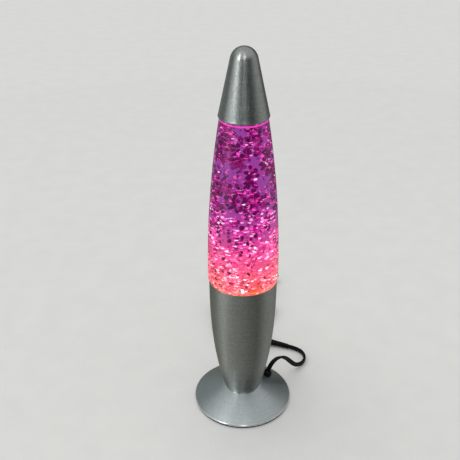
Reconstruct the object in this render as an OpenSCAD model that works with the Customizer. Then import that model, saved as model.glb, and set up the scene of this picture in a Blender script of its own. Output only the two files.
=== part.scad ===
// Glitter lamp: a bottle of glitter liquid that stands in a spun aluminium holder on a cone foot.
// A reflector bulb in the holder lights and warms the bottle from below.
// Millimetres, +Z up, the lamp's axis on Z and the table at z = 0. The lamp is seen from -Y.

/* [Foot] */
// Diameter of the foot at its rim
foot_d = 91; // [80:0.5:105]
// Height of the foot above its pad
foot_h = 15; // [12:0.5:20]
// Height of the polished edge round the rim
foot_rim_h = 1.4; // [0.8:0.1:2.5]
// Width of the solid ring under the rim
foot_rim_w = 4.3; // [3:0.1:6]
// Sheet thickness of the foot
foot_wall = 1.6; // [1:0.1:2.2]
// Step by which the foot's top stands proud of the holder
foot_lip = 0.3; // [0:0.1:1]
// Thickness of the black pad under the foot
pad_t = 1.6; // [1:0.1:3]
// Inset of the pad from the rim
pad_inset = 0.6; // [0.2:0.1:2]
// Thickness of the bottom cover
cover_t = 1.6; // [1:0.1:2]

/* [Holder] */
// Diameter of the holder at its rim
holder_rim_d = 59.6; // [54:0.2:66]
// Diameter of the holder where it stands on the foot
holder_base_d = 34; // [30:0.5:38]
// Sheet thickness of the holder
holder_wall = 1.2; // [0.8:0.1:1.6]
// Exponent of the holder's bullet curve
holder_swell = 2.5; // [1.8:0.1:3.2]

/* [Bottle] */
// Depth of the bottle inside the holder
bottle_sink = 18; // [12:0.5:20]
// Height of the bottle from the holder's rim to its shoulder
bottle_h = 150; // [130:1:170]
// Overhang of the glass beyond the holder's rim
bottle_overhang = 0.9; // [0.4:0.1:2]
// Gap round the bottle's lower end in the holder
bottle_gap = 0.7; // [0.4:0.1:1.5]
// Exponent of the bottle's taper
bottle_taper = 2.1; // [1.7:0.1:2.6]
// Diameter of the bottle at its shoulder
shoulder_d = 38.4; // [34:0.2:42]
// Height of the rounded shoulder
shoulder_h = 10; // [8:0.5:14]
// Outer diameter of the neck
neck_d = 20; // [17:0.2:23]
// Height of the straight neck
neck_h = 13; // [11:0.5:16]
// Wall of the glass
glass_wall = 2.2; // [1.6:0.1:3]
// Thickness of the bottle's bottom
glass_bottom = 4; // [3:0.2:6]
// Radius of the bottle's bottom corner
glass_corner = 4; // [3:0.2:6]
// Height of the air space under the neck's mouth
air_space = 14; // [10:0.5:18]
// Number of large flakes of glitter
flake_count = 90; // [40:1:120]
// Width of a flake across its corners
flake_d = 2.4; // [1.5:0.1:3.5]
// Thickness of a flake
flake_t = 0.2; // [0.15:0.05:0.4]

/* [Closure and cap] */
// Wall of the bottle's closure
closure_wall = 0.8; // [0.5:0.1:1.2]
// Depth of the closure's skirt on the neck
closure_skirt = 8; // [6:0.5:10]
// Thickness of the seal in the closure
seal_t = 1.4; // [1:0.1:2.5]
// Height of the empty space from the closure to the cap's tip
cap_headroom = 28.8; // [24:0.2:36]
// Radius of the cap's round tip
cap_tip_r = 11; // [9:0.2:12.5]
// Sheet thickness of the cap
cap_wall = 0.8; // [0.6:0.1:1]
// Depth by which the cap reaches below the shoulder
cap_drop = 1; // [0.5:0.1:2]
// Gap between the cap's edge and the glass
cap_gap = 0.5; // [0.4:0.05:0.8]

/* [Lampholder] */
// Outer diameter of the threaded pipe
pipe_d = 10; // [9:0.1:11]
// Bore of the threaded pipe
pipe_bore = 8; // [7:0.1:8.4]
// Length of the pipe below the foot's top face
pipe_tail = 10.2; // [9.5:0.1:11]
// Depth of the pipe in the lampholder
pipe_grip = 8; // [6:0.2:10]
// Width of the pipe nuts across their flats
nut_af = 14; // [13:0.5:16]
// Height of the pipe nuts
nut_h = 3.4; // [2.5:0.1:4]
// Thickness of the washers
washer_t = 0.8; // [0.5:0.1:1.2]
// Outer diameter of the washers
washer_d = 18; // [16:0.5:20]
// Outer diameter of the lampholder
socket_d = 25.6; // [24:0.2:28]
// Height of the lampholder's lower half above its boss
socket_base_h = 9; // [8:0.5:11]
// Height of the boss that the pipe screws into
socket_boss_h = 4; // [3:0.5:6]
// Height of the lampholder's barrel
socket_barrel_h = 25; // [22:0.5:30]
// Wall of the lampholder's lower half
socket_wall = 2.4; // [1.8:0.1:3]
// Thickness of the brass strips
strip_t = 0.8; // [0.5:0.1:1]
// Width of the brass strips
strip_w = 4; // [3:0.2:5]
// Height of the centre contact above the chamber's floor
contact_h = 6; // [5:0.2:7]

/* [Bulb] */
// Length of the bulb from its contact to its face
bulb_len = 66; // [60:0.5:74]
// Diameter of the bulb's face
bulb_d = 39; // [35:0.5:43]
// Height of the bulb's domed face
bulb_dome_h = 11; // [8:0.5:14]
// Diameter of the bulb's screw cap
bulb_screw_d = 13.7; // [13:0.1:14.4]
// Length of the bulb's screw cap
bulb_screw_l = 18; // [16:0.5:20]
// Diameter of the bulb's glass neck
bulb_neck_d = 15.8; // [14.6:0.2:17]
// Wall of the bulb's glass
bulb_wall = 0.8; // [0.6:0.1:1.2]
// Clear height between the bulb's face and the bottle
bulb_gap = 16; // [15:0.5:24]
// Radial play of the bulb's thread in the lampholder
thread_play = 0.3; // [0.2:0.05:0.5]

/* [Cord] */
// Width of the flat twin flex
cord_w = 4.8; // [4:0.1:6]
// Thickness of the flat twin flex
cord_t = 2.4; // [2:0.1:3]
// Diameter of one insulated core
core_d = 1.4; // [1.2:0.1:1.6]
// Distance of the cord's gland from the lamp's axis
gland_r = 28.8; // [26:0.2:31]
// Direction of the gland about the lamp's axis, counted from +X towards the back
gland_turn = 34; // [20:1:60]
// Thickness of the gland's rubber round the cord
gland_wall = 2; // [1.6:0.1:3]
// Height of the collar above the foot
gland_h = 4.5; // [3:0.1:8]
// Clearance of the cord in its gland
gland_play = 0.2; // [0.1:0.05:0.4]
// Number of turns in the coil
coil_turns = 8.14; // [7.14:1:9.14]
// Radius of the coil's innermost turn
coil_inner_r = 20.5; // [18:0.5:24]
// Gap between neighbouring turns of the coil
coil_gap = 0.5; // [0.45:0.05:1]
// Thickness of the tie round the coil
tie_t = 0.6; // [0.5:0.05:0.7]
// Width of the tie
tie_w = 6; // [4:0.5:9]

/* [Switch] */
// Length of the switch on the cord
switch_l = 46; // [44:0.5:52]
// Width of the switch
switch_w = 18; // [17:0.5:22]
// Height of the switch
switch_h = 15; // [14:0.5:18]
// Wall of the switch's housing
switch_wall = 1.8; // [1.4:0.1:2]
// Width of the rocker
rocker_w = 9; // [7:0.2:9.6]
// Radius of the rocker's ends about its pivot
rocker_r = 8.6; // [8:0.1:9.4]
// Tilt of the rocker when it is on
rocker_tilt = 8; // [5:0.5:10]
// Diameter of the rocker's pivot
pivot_d = 3; // [2.4:0.1:3.4]

/* [Plug] */
// Width of the plug
plug_w = 35; // [33:0.5:37]
// Thickness of the plug
plug_t = 13.7; // [13:0.1:15]
// Length of the plug's body
plug_l = 36; // [32:0.5:42]
// Distance between the plug's pins
pin_pitch = 19; // [18.6:0.1:19.4]
// Diameter of a pin
pin_d = 4; // [3.8:0.05:4.2]
// Length of a pin in front of the plug
pin_l = 19; // [18:0.5:20]
// Diameter of the sleeve on a pin
sleeve_d = 3.6; // [3.4:0.05:3.6]
// Length of the sleeve on a pin
sleeve_l = 10; // [8:0.5:12]

/* [Hidden] */
$fn = 96;

// Small running clearance between pieces that screw or slide together
play = 0.05;
// Heights of the stack from the table to the lampholder
foot_top = pad_t + foot_h;
holder_floor = foot_top + holder_wall;
socket_z = holder_floor + washer_t + nut_h;
chamber_z = socket_z + pipe_grip;
barrel_z = socket_z + socket_boss_h + socket_base_h;
socket_top = barrel_z + socket_barrel_h;
contact_z = chamber_z + contact_h;
// The holder is as tall as the bulb, its air gap and the sunk part of the bottle need
bulb_top = contact_z + bulb_len;
bottle_z = bulb_top + bulb_gap;
rim_z = bottle_z + bottle_sink;
shoulder_z = rim_z + bottle_h;
neck_z = shoulder_z + shoulder_h;
mouth_z = neck_z + neck_h;
closure_top = mouth_z + seal_t + closure_wall;
cap_z = shoulder_z - cap_drop;
cap_tip = closure_top + cap_headroom;

// Foot: a straight cone between the rim and the holder
foot_r = foot_d / 2;
foot_top_r = holder_base_d / 2 + foot_lip;
foot_rim_z = pad_t + foot_rim_h;
foot_slope = atan2(foot_top - foot_rim_z, foot_r - foot_top_r);
foot_inner_r = foot_r - foot_rim_w;
function foot_z(r) = foot_rim_z + (foot_r - r) * tan(foot_slope);
function foot_inner_z(r) = foot_z(r) - foot_wall / cos(foot_slope);

// Holder: a bullet curve from the foot to the rim
curve_steps = 30;
holder_base_r = holder_base_d / 2;
holder_rim_r = holder_rim_d / 2;
function holder_r(z) =
    holder_rim_r - (holder_rim_r - holder_base_r) * pow((rim_z - z) / (rim_z - foot_top), holder_swell);

// Bottle: widest on the rim, then a taper to the shoulder, a quarter ellipse and a straight neck
bottle_r = holder_rim_r + bottle_overhang;
bottle_low_r = holder_rim_r - holder_wall - bottle_gap;
seat_bevel = 1.5;
bottle_wide_z = rim_z + 4;
shoulder_r = shoulder_d / 2;
neck_r = neck_d / 2;
function taper_r(z) = bottle_r - (bottle_r - shoulder_r)
    * pow(max(0, z - bottle_wide_z) / (shoulder_z - bottle_wide_z), bottle_taper);
function bottle_out_r(z) = z < shoulder_z ? taper_r(z)
    : z < neck_z ? neck_r + (shoulder_r - neck_r) * sqrt(max(0, 1 - pow((z - shoulder_z) / shoulder_h, 2)))
    : neck_r;
function bottle_in_r(z) = z < rim_z + seat_bevel ? bottle_low_r - glass_wall : bottle_out_r(z) - glass_wall;
liquid_top = mouth_z - air_space;
taper_zs = [for (i = [0 : curve_steps]) bottle_wide_z + (shoulder_z - bottle_wide_z) * i / curve_steps];
shoulder_zs = [for (a = [9 : 9 : 90]) shoulder_z + shoulder_h * sin(a)];
bottle_zs = concat(taper_zs, shoulder_zs);

// Cap: a cone whose side runs tangent into the round tip
cap_r = taper_r(cap_z) + cap_gap + cap_wall;
tip_z = cap_tip - cap_tip_r;
cap_lean = atan2(cap_r, tip_z - cap_z)
    - asin(cap_tip_r / sqrt(cap_r * cap_r + (tip_z - cap_z) * (tip_z - cap_z)));
function cap_outline(inset) = concat(
    [[cap_r - inset / cos(cap_lean), cap_z]],
    [for (i = [0 : 12]) let (a = cap_lean + (90 - cap_lean) * i / 12)
        [(cap_tip_r - inset) * cos(a), tip_z + (cap_tip_r - inset) * sin(a)]]);

// Gland: stands square on the foot's cone
gland_z = foot_z(gland_r);
gland_inside = 4.4;
gland_flange = 1.4;
// Room under the foot's sheet, which curves away from the gland's flat flange
gland_seat_gap = 0.25;
gland_d = cord_w + 2 * gland_wall;
gland_bevel_h = 2;
gland_bevel_w = 0.9;
gland_waist_r = gland_d / 2 - 1;
gland_dir = [sin(foot_slope) * cos(gland_turn), sin(foot_slope) * sin(gland_turn), cos(foot_slope)];
gland_pos = [gland_r * cos(gland_turn), gland_r * sin(gland_turn), gland_z];
gland_end = gland_pos + gland_h * gland_dir;
cord_start = gland_pos - gland_inside * gland_dir;

// Switch: lies behind the foot, turned so that the cord can swing round into it
switch_pos = [4.5, 86];
switch_turn = 160;
switch_split = switch_h / 2;
port_z = 4;
pivot_z = switch_h - 4.5;
switch_dir = [cos(switch_turn), sin(switch_turn)];
switch_in = [switch_pos.x - switch_dir.x * switch_l / 2, switch_pos.y - switch_dir.y * switch_l / 2];
switch_out = [switch_pos.x + switch_dir.x * switch_l / 2, switch_pos.y + switch_dir.y * switch_l / 2];
// Room between the rocker and the opening round it
rocker_gap = 0.4;

// Route of the cord from the gland to the switch: x, y, z and the twist of its flat side
lead_route = [
    concat(cord_start, [0]), concat(gland_end, [0]), concat(gland_end + cord_w * gland_dir, [0]),
    [30.2, 20.7, 22.9, 8], [34, 23.3, 24.8, 20], [38.2, 26.2, 24.3, 35], [42.4, 29.1, 21.4, 48],
    [46.2, 31.7, 16.6, 58], [49.8, 34.2, 11.2, 66], [53.4, 36.7, 6.6, 75], [57.4, 39.6, 3.8, 84],
    [61.6, 43.6, 2.7, 90], [64.6, 49.6, 2.6, 90], [64.6, 56.6, 2.6, 90], [61.4, 62.8, 2.6, 90],
    [55.6, 67, 2.8, 90], [48.8, 69.8, 3.2, 90], [41.5, 72.5, 3.6, 90], [35, 74.9, 3.9, 90],
    concat(switch_in - 5 * switch_dir, [port_z, 90]), concat(switch_in, [port_z, 90])];
// Route from the switch to the coil
coil_lift = tie_t + 0.2;
layer_z = coil_lift + cord_w / 2;
tail_route = [
    concat(switch_out, [port_z, 90]), concat(switch_out + 5 * switch_dir, [port_z, 90]),
    [-25.4, 98.4, 3.8, 90], [-27.9, 102.6, 3.5, 90], [-28.9, 108, 3.3, 90], [-29.1, 114, layer_z, 90],
    [-29.1, 121, layer_z, 90], [-29.1, 126, layer_z, 90], [-29.1, 131, layer_z, 90]];

// Coil: the flat flex stands on edge, spirals in on the lower layer and out on the upper one
coil_pitch = cord_t + coil_gap;
coil_rise = cord_w + coil_gap;
coil_outer_r = coil_inner_r + coil_pitch * coil_turns / 2;
coil_straight = 5;
tail_end = tail_route[len(tail_route) - 1];
coil_pos = [tail_end.x + coil_outer_r, tail_end.y + coil_straight];
coil_end_run = 20;
function coil_point(turn) =
    let (m = turn - coil_turns / 2,
         r = coil_inner_r + coil_pitch * abs(m),
         a = 180 - 360 * turn,
         climb = min(1, max(0, m / 0.5 + 0.5)))
    [coil_pos.x + r * cos(a), coil_pos.y + r * sin(a), layer_z + coil_rise * climb, 90];
// Last stretch, out of the upper layer and down to the plug's port
coil_end = coil_point(coil_turns);
coil_end_turn = 90 - 360 * coil_turns;
plug_dir = [cos(coil_end_turn), sin(coil_end_turn)];
plug_pos = [coil_end.x + coil_end_run * plug_dir.x, coil_end.y + coil_end_run * plug_dir.y];
plug_axis_z = plug_t / 2;
coil_drop = coil_end.z - plug_axis_z;
rings_per_turn = 24;
coil_route = concat(
    [[coil_pos.x - coil_outer_r, coil_pos.y - coil_straight, layer_z, 90]],
    [for (i = [0 : floor(coil_turns * rings_per_turn)]) coil_point(i / rings_per_turn)],
    [for (s = [0.25, 0.5, 0.75, 1])
        [coil_end.x + s * coil_end_run * plug_dir.x, coil_end.y + s * coil_end_run * plug_dir.y,
         coil_end.z - coil_drop * (s < 0.75 ? (1 - cos(240 * s)) / 2 : 1), 90]]);

// Wires: from the cord's inner end across the foot, up the pipe and round to a terminal
core_side = [-sin(gland_turn), cos(gland_turn), 0];
core_offset = core_d / 2 + 0.25;
// Where a wire lies on the cover, as shares of the gland's distance from the axis
wire_shares = [0.7, 0.42, 0.16];
wire_low = pad_t + cover_t + core_d;
wire_bend = 2.2;
pipe_wire_r = 1.5;
terminal_x = socket_d / 2 - socket_wall - 2.4;
terminal_y = 2.5;
strip_foot_x = pipe_d / 2 + 0.3;
strip_out_x = terminal_x + 1.8;
function wire_route(side) =
    let (offset = side * core_offset * core_side,
         start = cord_start + offset,
         flat = [for (s = wire_shares)
             [s * gland_r * cos(gland_turn), s * gland_r * sin(gland_turn), wire_low] + offset],
         up = side * pipe_wire_r * core_side,
         strip_z = chamber_z + strip_t + core_d / 2 + play)
    [for (p = concat([start, start - wire_bend / 2 * gland_dir], flat,
        [[up.x, up.y, wire_low + wire_bend], [up.x, up.y, foot_top], [up.x, up.y, chamber_z - core_d],
         [-side * 2.6, side * 1.8, strip_z + core_d / 2], [-side * strip_foot_x, side * 3.2, strip_z],
         [-side * terminal_x, side * terminal_y, strip_z]])) concat(p, [0])];

// Sweeps a flattened round section along a route of points with a twist
function flat_dir(p) = norm([p.x, p.y]) < 0.01 ? [1, 0, 0] : [p.y, -p.x, 0] / norm([p.x, p.y]);
function unit(v) = v / norm(v);
function at(route, i) = [route[i].x, route[i].y, route[i].z];
function heading(route, i) =
    let (last = len(route) - 1)
    i == 0 ? unit(at(route, 1) - at(route, 0))
    : i == last ? unit(at(route, last) - at(route, last - 1))
    : unit(unit(at(route, i + 1) - at(route, i)) + unit(at(route, i) - at(route, i - 1)));
function section(route, i, w, t, sides) =
    let (d = heading(route, i), h = flat_dir(d), u = cross(h, d), k = route[i][3],
         wide = h * cos(k) + u * sin(k), thin = u * cos(k) - h * sin(k))
    [for (j = [0 : sides - 1]) let (a = 360 * j / sides)
        at(route, i) + wide * (w / 2) * cos(a) + thin * (t / 2) * sin(a)];
// Adds one point in the middle of each stretch on a smooth curve through its neighbours
function midway(route, i) =
    let (last = len(route) - 1)
    i == 0 || i == last - 1 ? (route[i] + route[i + 1]) / 2
    : (9 * (route[i] + route[i + 1]) - route[i - 1] - route[i + 2]) / 16;
function smooth(route) = concat(
    [for (i = [0 : len(route) - 2], k = [0, 1]) k == 0 ? route[i] : midway(route, i)],
    [route[len(route) - 1]]);
module swept(route, w, t, sides) {
    n = len(route);
    points = [for (i = [0 : n - 1]) each section(route, i, w, t, sides)];
    side_faces = [for (i = [0 : n - 2], j = [0 : sides - 1])
        let (a = i * sides + j, b = i * sides + (j + 1) % sides)
        each [[a, b + sides, b], [a, a + sides, b + sides]]];
    first_cap = [for (j = [1 : sides - 2]) [0, j, j + 1]];
    last = (n - 1) * sides;
    last_cap = [for (j = [1 : sides - 2]) [last, last + j + 1, last + j]];
    polyhedron(points = points, faces = concat(first_cap, side_faces, last_cap));
}

// Least gap of the coil to itself, between points more than half a turn apart
function spread(p, q) =
    let (flat = norm([p.x - q.x, p.y - q.y]), up = abs(p.z - q.z),
         reach = norm([flat / cord_t, up / cord_w]))
    norm([flat, up]) * (1 - 1 / reach);
coil_ring_gaps = [for (i = [0 : len(coil_route) - 1]) each
    [for (j = [i + 13 : len(coil_route) - 1]) spread(coil_route[i], coil_route[j])]];
echo(least_coil_gap = min(coil_ring_gaps));

// Turns a shape drawn on +Z so that it stands on the foot at the gland
module on_gland() {
    translate(gland_pos) rotate([0, 0, gland_turn]) rotate([0, foot_slope, 0]) children();
}
module on_switch() {
    translate([switch_pos.x, switch_pos.y, 0]) rotate([0, 0, switch_turn]) children();
}
// Places a shape drawn along +X, from the plug's rear face to its pins
module on_plug() {
    translate([plug_pos.x, plug_pos.y, plug_axis_z]) rotate([0, 0, coil_end_turn]) children();
}
module ring(r_out, r_in, z_low, height) {
    translate([0, 0, z_low]) difference() {
        cylinder(r = r_out, h = height);
        translate([0, 0, -1]) cylinder(r = r_in, h = height + 2);
    }
}

// Foot
module base_pad() {
    color("#161616") cylinder(r = foot_r - pad_inset, h = pad_t);
}
module bottom_cover() {
    color("#222222") translate([0, 0, pad_t]) cylinder(r = foot_inner_r - play, h = cover_t);
}
module foot() {
    hole_r = pipe_d / 2 + play;
    inner_top_r = foot_top_r - 2 * foot_wall;
    outline = [
        [foot_inner_r, pad_t], [foot_r, pad_t], [foot_r, foot_rim_z], [foot_top_r, foot_top],
        [hole_r, foot_top], [hole_r, foot_top - foot_wall], [inner_top_r, foot_top - foot_wall],
        [inner_top_r, foot_inner_z(foot_top_r)], [foot_top_r, foot_inner_z(foot_top_r)],
        [foot_inner_r, max(foot_inner_z(foot_inner_r), pad_t + cover_t)]];
    color("#a4abab") difference() {
        rotate_extrude() polygon(outline);
        on_gland() cylinder(r = gland_waist_r + play, h = 2 * gland_inside, center = true);
    }
}
module cord_gland() {
    flange_top = -foot_wall - gland_seat_gap;
    flange_r = gland_d / 2 - 0.3;
    outline = [
        [0, flange_top - gland_flange], [flange_r, flange_top - gland_flange], [flange_r, flange_top],
        [gland_waist_r, flange_top], [gland_waist_r, play], [gland_d / 2, play],
        [gland_d / 2, gland_h - gland_bevel_h], [gland_d / 2 - gland_bevel_w, gland_h], [0, gland_h]];
    color("#0d0d0d") on_gland() difference() {
        rotate_extrude() polygon(outline);
        cube([cord_t + 2 * gland_play, cord_w + 2 * gland_play, 4 * gland_h], center = true);
    }
}

// Pipe and its fasteners
module threaded_pipe() {
    low = foot_top - pipe_tail;
    color("#c9a54e") ring(pipe_d / 2, pipe_bore / 2, low, socket_z + pipe_grip - low);
}
module pipe_nuts() {
    for (z = [foot_top - foot_wall - washer_t - nut_h, holder_floor + washer_t])
        color("#b9b9b5") translate([0, 0, z]) difference() {
            cylinder(d = nut_af / cos(30), h = nut_h, $fn = 6);
            translate([0, 0, -1]) cylinder(r = pipe_d / 2 + play, h = nut_h + 2);
        }
}
module pipe_washers() {
    for (z = [foot_top - foot_wall - washer_t, holder_floor])
        color("#cfcfca") ring(washer_d / 2, pipe_d / 2 + play, z, washer_t);
}

// Holder
module holder() {
    outer = [for (i = [0 : curve_steps]) let (z = foot_top + (rim_z - foot_top) * i / curve_steps)
        [holder_r(z), z]];
    depth = rim_z - holder_floor;
    inner = [for (i = [curve_steps : -1 : 0]) let (z = holder_floor + depth * i / curve_steps)
        [holder_r(z) - holder_wall, z]];
    hole = [[pipe_d / 2 + play, holder_floor], [pipe_d / 2 + play, foot_top]];
    color("#80837f") rotate_extrude() polygon(concat(outer, inner, hole));
}

// Lampholder
module lampholder_base() {
    r = socket_d / 2;
    boss_r = pipe_d / 2 + 3;
    bore_r = pipe_d / 2 + play;
    shelf = socket_z + socket_boss_h;
    outline = [
        [bore_r, socket_z], [boss_r, socket_z], [boss_r, shelf], [r, shelf], [r, barrel_z],
        [r - socket_wall, barrel_z], [r - socket_wall, chamber_z], [bore_r, chamber_z]];
    color("#e9e4d6") difference() {
        rotate_extrude() polygon(outline);
        for (s = [-1, 1]) translate([s * terminal_x, 0, chamber_z - screw_depth - play])
            cylinder(r = terminal_r + play, h = screw_depth + 1);
    }
}
// Terminal screws: shank radius, shank depth, head radius and head height
terminal_r = 0.9;
screw_depth = 2.6;
terminal_head_r = 1.6;
terminal_head_h = 1.3;
shell_in_r = bulb_screw_d / 2 + thread_play;
shell_out_r = shell_in_r + strip_t;
shell_lift = 3.4;
shell_sink = 2;
ledge_h = 2.2;
shell_z = barrel_z + shell_lift;
ledge_z = barrel_z + ledge_h;
// Bevels of the barrel's mouth, inside for the bulb's skirt and outside
mouth_flare = 1.2;
mouth_bevel = 1;
// Angles about the axis between which the shell's foot and its leg lie, clear of the terminal screw
shell_foot_span = [-22, 62];
shell_leg_span = [36, 60];
module lampholder_barrel() {
    r = socket_d / 2;
    bore = shell_out_r + play;
    outline = [
        [r - socket_wall, barrel_z], [r, barrel_z], [r, socket_top - mouth_bevel],
        [r - mouth_bevel, socket_top], [bore + mouth_flare, socket_top],
        [bore, socket_top - mouth_flare], [bore, ledge_z], [r - socket_wall, ledge_z]];
    color("#e9e4d6") rotate_extrude() polygon(outline);
}
module ring_sector(r_out, r_in, z_low, height, span) {
    translate([0, 0, z_low]) rotate([0, 0, span[0]]) rotate_extrude(angle = span[1] - span[0])
        translate([r_in, 0]) square([r_out - r_in, height]);
}
// Hole in a strip for its terminal screw
module terminal_hole(side) {
    translate([side * terminal_x, 0, chamber_z - strip_t]) cylinder(r = terminal_r + play, h = 3 * strip_t);
}
module screw_shell() {
    color("#c9a54e") difference() {
        union() {
            ring(shell_out_r, shell_in_r, shell_z, socket_top - shell_sink - shell_z);
            ring_sector(shell_out_r - play, shell_in_r + play, chamber_z, shell_z - chamber_z + strip_t,
                shell_leg_span);
            ring_sector(strip_out_x, strip_foot_x, chamber_z, strip_t, shell_foot_span);
        }
        terminal_hole(1);
    }
}
module centre_contact() {
    leg_x = -strip_foot_x - strip_t;
    tongue = 2.4;
    color("#b98a4a") difference() {
        union() {
            translate([-strip_out_x, -strip_w / 2, chamber_z])
                cube([strip_out_x - strip_foot_x, strip_w, strip_t]);
            translate([leg_x, -strip_w / 2, chamber_z]) cube([strip_t, strip_w, contact_h]);
            translate([leg_x, -strip_w / 2, contact_z - strip_t]) cube([tongue - leg_x, strip_w, strip_t]);
        }
        terminal_hole(-1);
    }
}
module terminal_screws() {
    for (s = [-1, 1]) color("#d8c27a") translate([s * terminal_x, 0, chamber_z - screw_depth]) {
        cylinder(r = terminal_r, h = screw_depth + strip_t + terminal_head_h);
        translate([0, 0, screw_depth + strip_t]) cylinder(r = terminal_head_r, h = terminal_head_h);
    }
}
module wire_live() {
    color("#7a4a24") swept(smooth(wire_route(1)), core_d, core_d, 6);
}
module wire_neutral() {
    color("#2d5f9e") swept(smooth(wire_route(-1)), core_d, core_d, 6);
}

// Bulb
bulb_tip_h = 1.2;
bulb_tip_r = 2.6;
bulb_cone_h = 3;
screw_z = contact_z + bulb_tip_h + bulb_cone_h;
screw_r = bulb_screw_d / 2;
screw_top = screw_z + bulb_screw_l;
skirt_h = 3.2;
skirt_wall = 0.4;
neck_seat_z = screw_top + 2.2;
bulb_neck_r = bulb_neck_d / 2;
bulb_r = bulb_d / 2;
insulator_r = screw_r - skirt_wall - play;
insulator_sink = 2;
module bulb_contact() {
    color("#cfcfcf") translate([0, 0, contact_z])
        cylinder(r1 = bulb_tip_r - 0.8, r2 = bulb_tip_r, h = bulb_tip_h);
}
module bulb_insulator() {
    low = contact_z + bulb_tip_h;
    color("#151515") rotate_extrude() polygon([
        [0, low], [bulb_tip_r + 0.4, low], [insulator_r, screw_z], [insulator_r, screw_z + insulator_sink],
        [0, screw_z + insulator_sink]]);
}
module bulb_screw_cap() {
    skirt_r = bulb_neck_r + play + skirt_wall;
    inner_r = screw_r - skirt_wall;
    color("#c3ab6b") rotate_extrude() polygon([
        [inner_r, screw_z], [screw_r, screw_z], [screw_r, screw_top], [skirt_r, screw_top + 1.8],
        [skirt_r, neck_seat_z + skirt_h], [skirt_r - skirt_wall, neck_seat_z + skirt_h],
        [skirt_r - skirt_wall, neck_seat_z], [inner_r, screw_top + 0.4]]);
}
// Reflector bulb: a neck, a flare that swells to the head and a domed face
bulb_flare_z = neck_seat_z + 6;
bulb_head_z = bulb_top - bulb_dome_h;
function flare_r(s) = bulb_neck_r + (bulb_r - bulb_neck_r) * pow(sin(90 * s), 1.2);
function bulb_outline(inset) = concat(
    [[bulb_neck_r - inset, neck_seat_z], [bulb_neck_r - inset, bulb_flare_z]],
    [for (i = [1 : 10]) let (s = i / 10)
        [flare_r(s) - inset, bulb_flare_z + (bulb_head_z - bulb_flare_z) * s]],
    [for (a = [10 : 10 : 90])
        [(bulb_r - inset) * cos(a), bulb_head_z + (bulb_top - bulb_head_z - inset) * sin(a)]]);
module bulb_glass() {
    inner = bulb_outline(bulb_wall);
    color("#dfe3e6") rotate_extrude() polygon(concat(
        bulb_outline(0), [for (i = [len(inner) - 1 : -1 : 0]) inner[i]]));
}
stem_r = bulb_neck_r - bulb_wall - play;
stem_rise = 9;
stem_top = bulb_flare_z + stem_rise;
stem_mast_r = 3;
module bulb_stem() {
    color("#d3dadd") rotate_extrude() polygon([
        [0, neck_seat_z], [stem_r, neck_seat_z], [stem_r, neck_seat_z + 1],
        [stem_mast_r, neck_seat_z + 4], [stem_mast_r, stem_top], [0, stem_top]]);
}
// One wire: up a support, round the bow of the filament and down the other support
filament_d = 0.7;
filament_bow = [[-2, 0, 0], [-2.5, 0, 4], [-3.8, 0.2, 7.4], [-4.6, 1.6, 9], [-3.2, 3.8, 9.4], [0, 4.8, 9.6],
    [3.2, 3.8, 9.4], [4.6, 1.6, 9], [3.8, 0.2, 7.4], [2.5, 0, 4], [2, 0, 0]];
module bulb_filament() {
    route = [for (p = filament_bow) [p.x, p.y, stem_top + p.z, 0]];
    color("#8d8f92") swept(smooth(route), filament_d, filament_d, 6);
}

// Bottle and what it holds
module bottle() {
    corner = [bottle_low_r - glass_corner, bottle_z + glass_corner];
    low_corner = [for (a = [270 : 15 : 360]) corner + glass_corner * [cos(a), sin(a)]];
    seat = [[bottle_low_r, rim_z], [bottle_r - bottle_overhang / 2, rim_z], [bottle_r, rim_z + seat_bevel]];
    outer = [for (z = bottle_zs) [bottle_out_r(z), z]];
    mouth = [[neck_r, mouth_z], [neck_r - glass_wall, mouth_z]];
    color("#c48bc0", 0.35) rotate_extrude() polygon(concat(
        [[0, bottle_z]], low_corner, seat, outer, mouth, bottle_inside()));
}
// Inner wall from the neck down to the middle of the bottom
function bottle_inside() = concat(
    [for (i = [len(bottle_zs) - 1 : -1 : 0]) [bottle_in_r(bottle_zs[i]), bottle_zs[i]]],
    [[bottle_low_r - glass_wall, rim_z + seat_bevel]],
    [[bottle_low_r - glass_wall, bottle_z + glass_bottom + 2]],
    [[bottle_low_r - glass_wall - 2, bottle_z + glass_bottom]],
    [[0, bottle_z + glass_bottom]]);
module liquid() {
    wall = [for (p = bottle_inside()) if (p.y < liquid_top) [max(0, p.x - play), max(p.y, liquid_floor)]];
    color("#b04fae", 0.6) rotate_extrude() polygon(concat(
        [[0, liquid_top], [bottle_in_r(liquid_top) - play, liquid_top]], wall));
}
liquid_floor = bottle_z + glass_bottom;
// Flakes spread through the liquid by the golden angle, each turned its own way
golden_angle = 137.508;
module glitter() {
    low = rim_z + 3;
    high = shoulder_z - 3;
    for (i = [0 : flake_count - 1]) {
        z = low + (high - low) * (i + 0.5) / flake_count;
        share = sqrt((i * 0.754878) % 1);
        r = share * (bottle_in_r(z) - flake_d);
        color(i % 3 == 0 ? "#f3b7e6" : i % 3 == 1 ? "#5b2a66" : "#c77fd0")
            translate([r * cos(i * golden_angle), r * sin(i * golden_angle), z])
            rotate([i * 67 % 180, i * 43 % 180, 0])
            cylinder(d = flake_d, h = flake_t, $fn = 6, center = true);
    }
}
module bottle_closure() {
    r_in = neck_r + play;
    r_out = r_in + closure_wall;
    under = closure_top - closure_wall;
    skirt_z = mouth_z - closure_skirt;
    color("#c8c4b4") rotate_extrude() polygon([
        [0, under], [r_in, under], [r_in, skirt_z], [r_out, skirt_z], [r_out, closure_top - 0.8],
        [r_out - 0.8, closure_top], [0, closure_top]]);
}
module closure_seal() {
    color("#e8e3d8") translate([0, 0, mouth_z]) cylinder(r = neck_r - play, h = seal_t);
}

// Cap
module cap() {
    inner = cap_outline(cap_wall);
    color("#6f7773") rotate_extrude() polygon(concat(
        cap_outline(0), [for (i = [len(inner) - 1 : -1 : 0]) inner[i]]));
}

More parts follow.
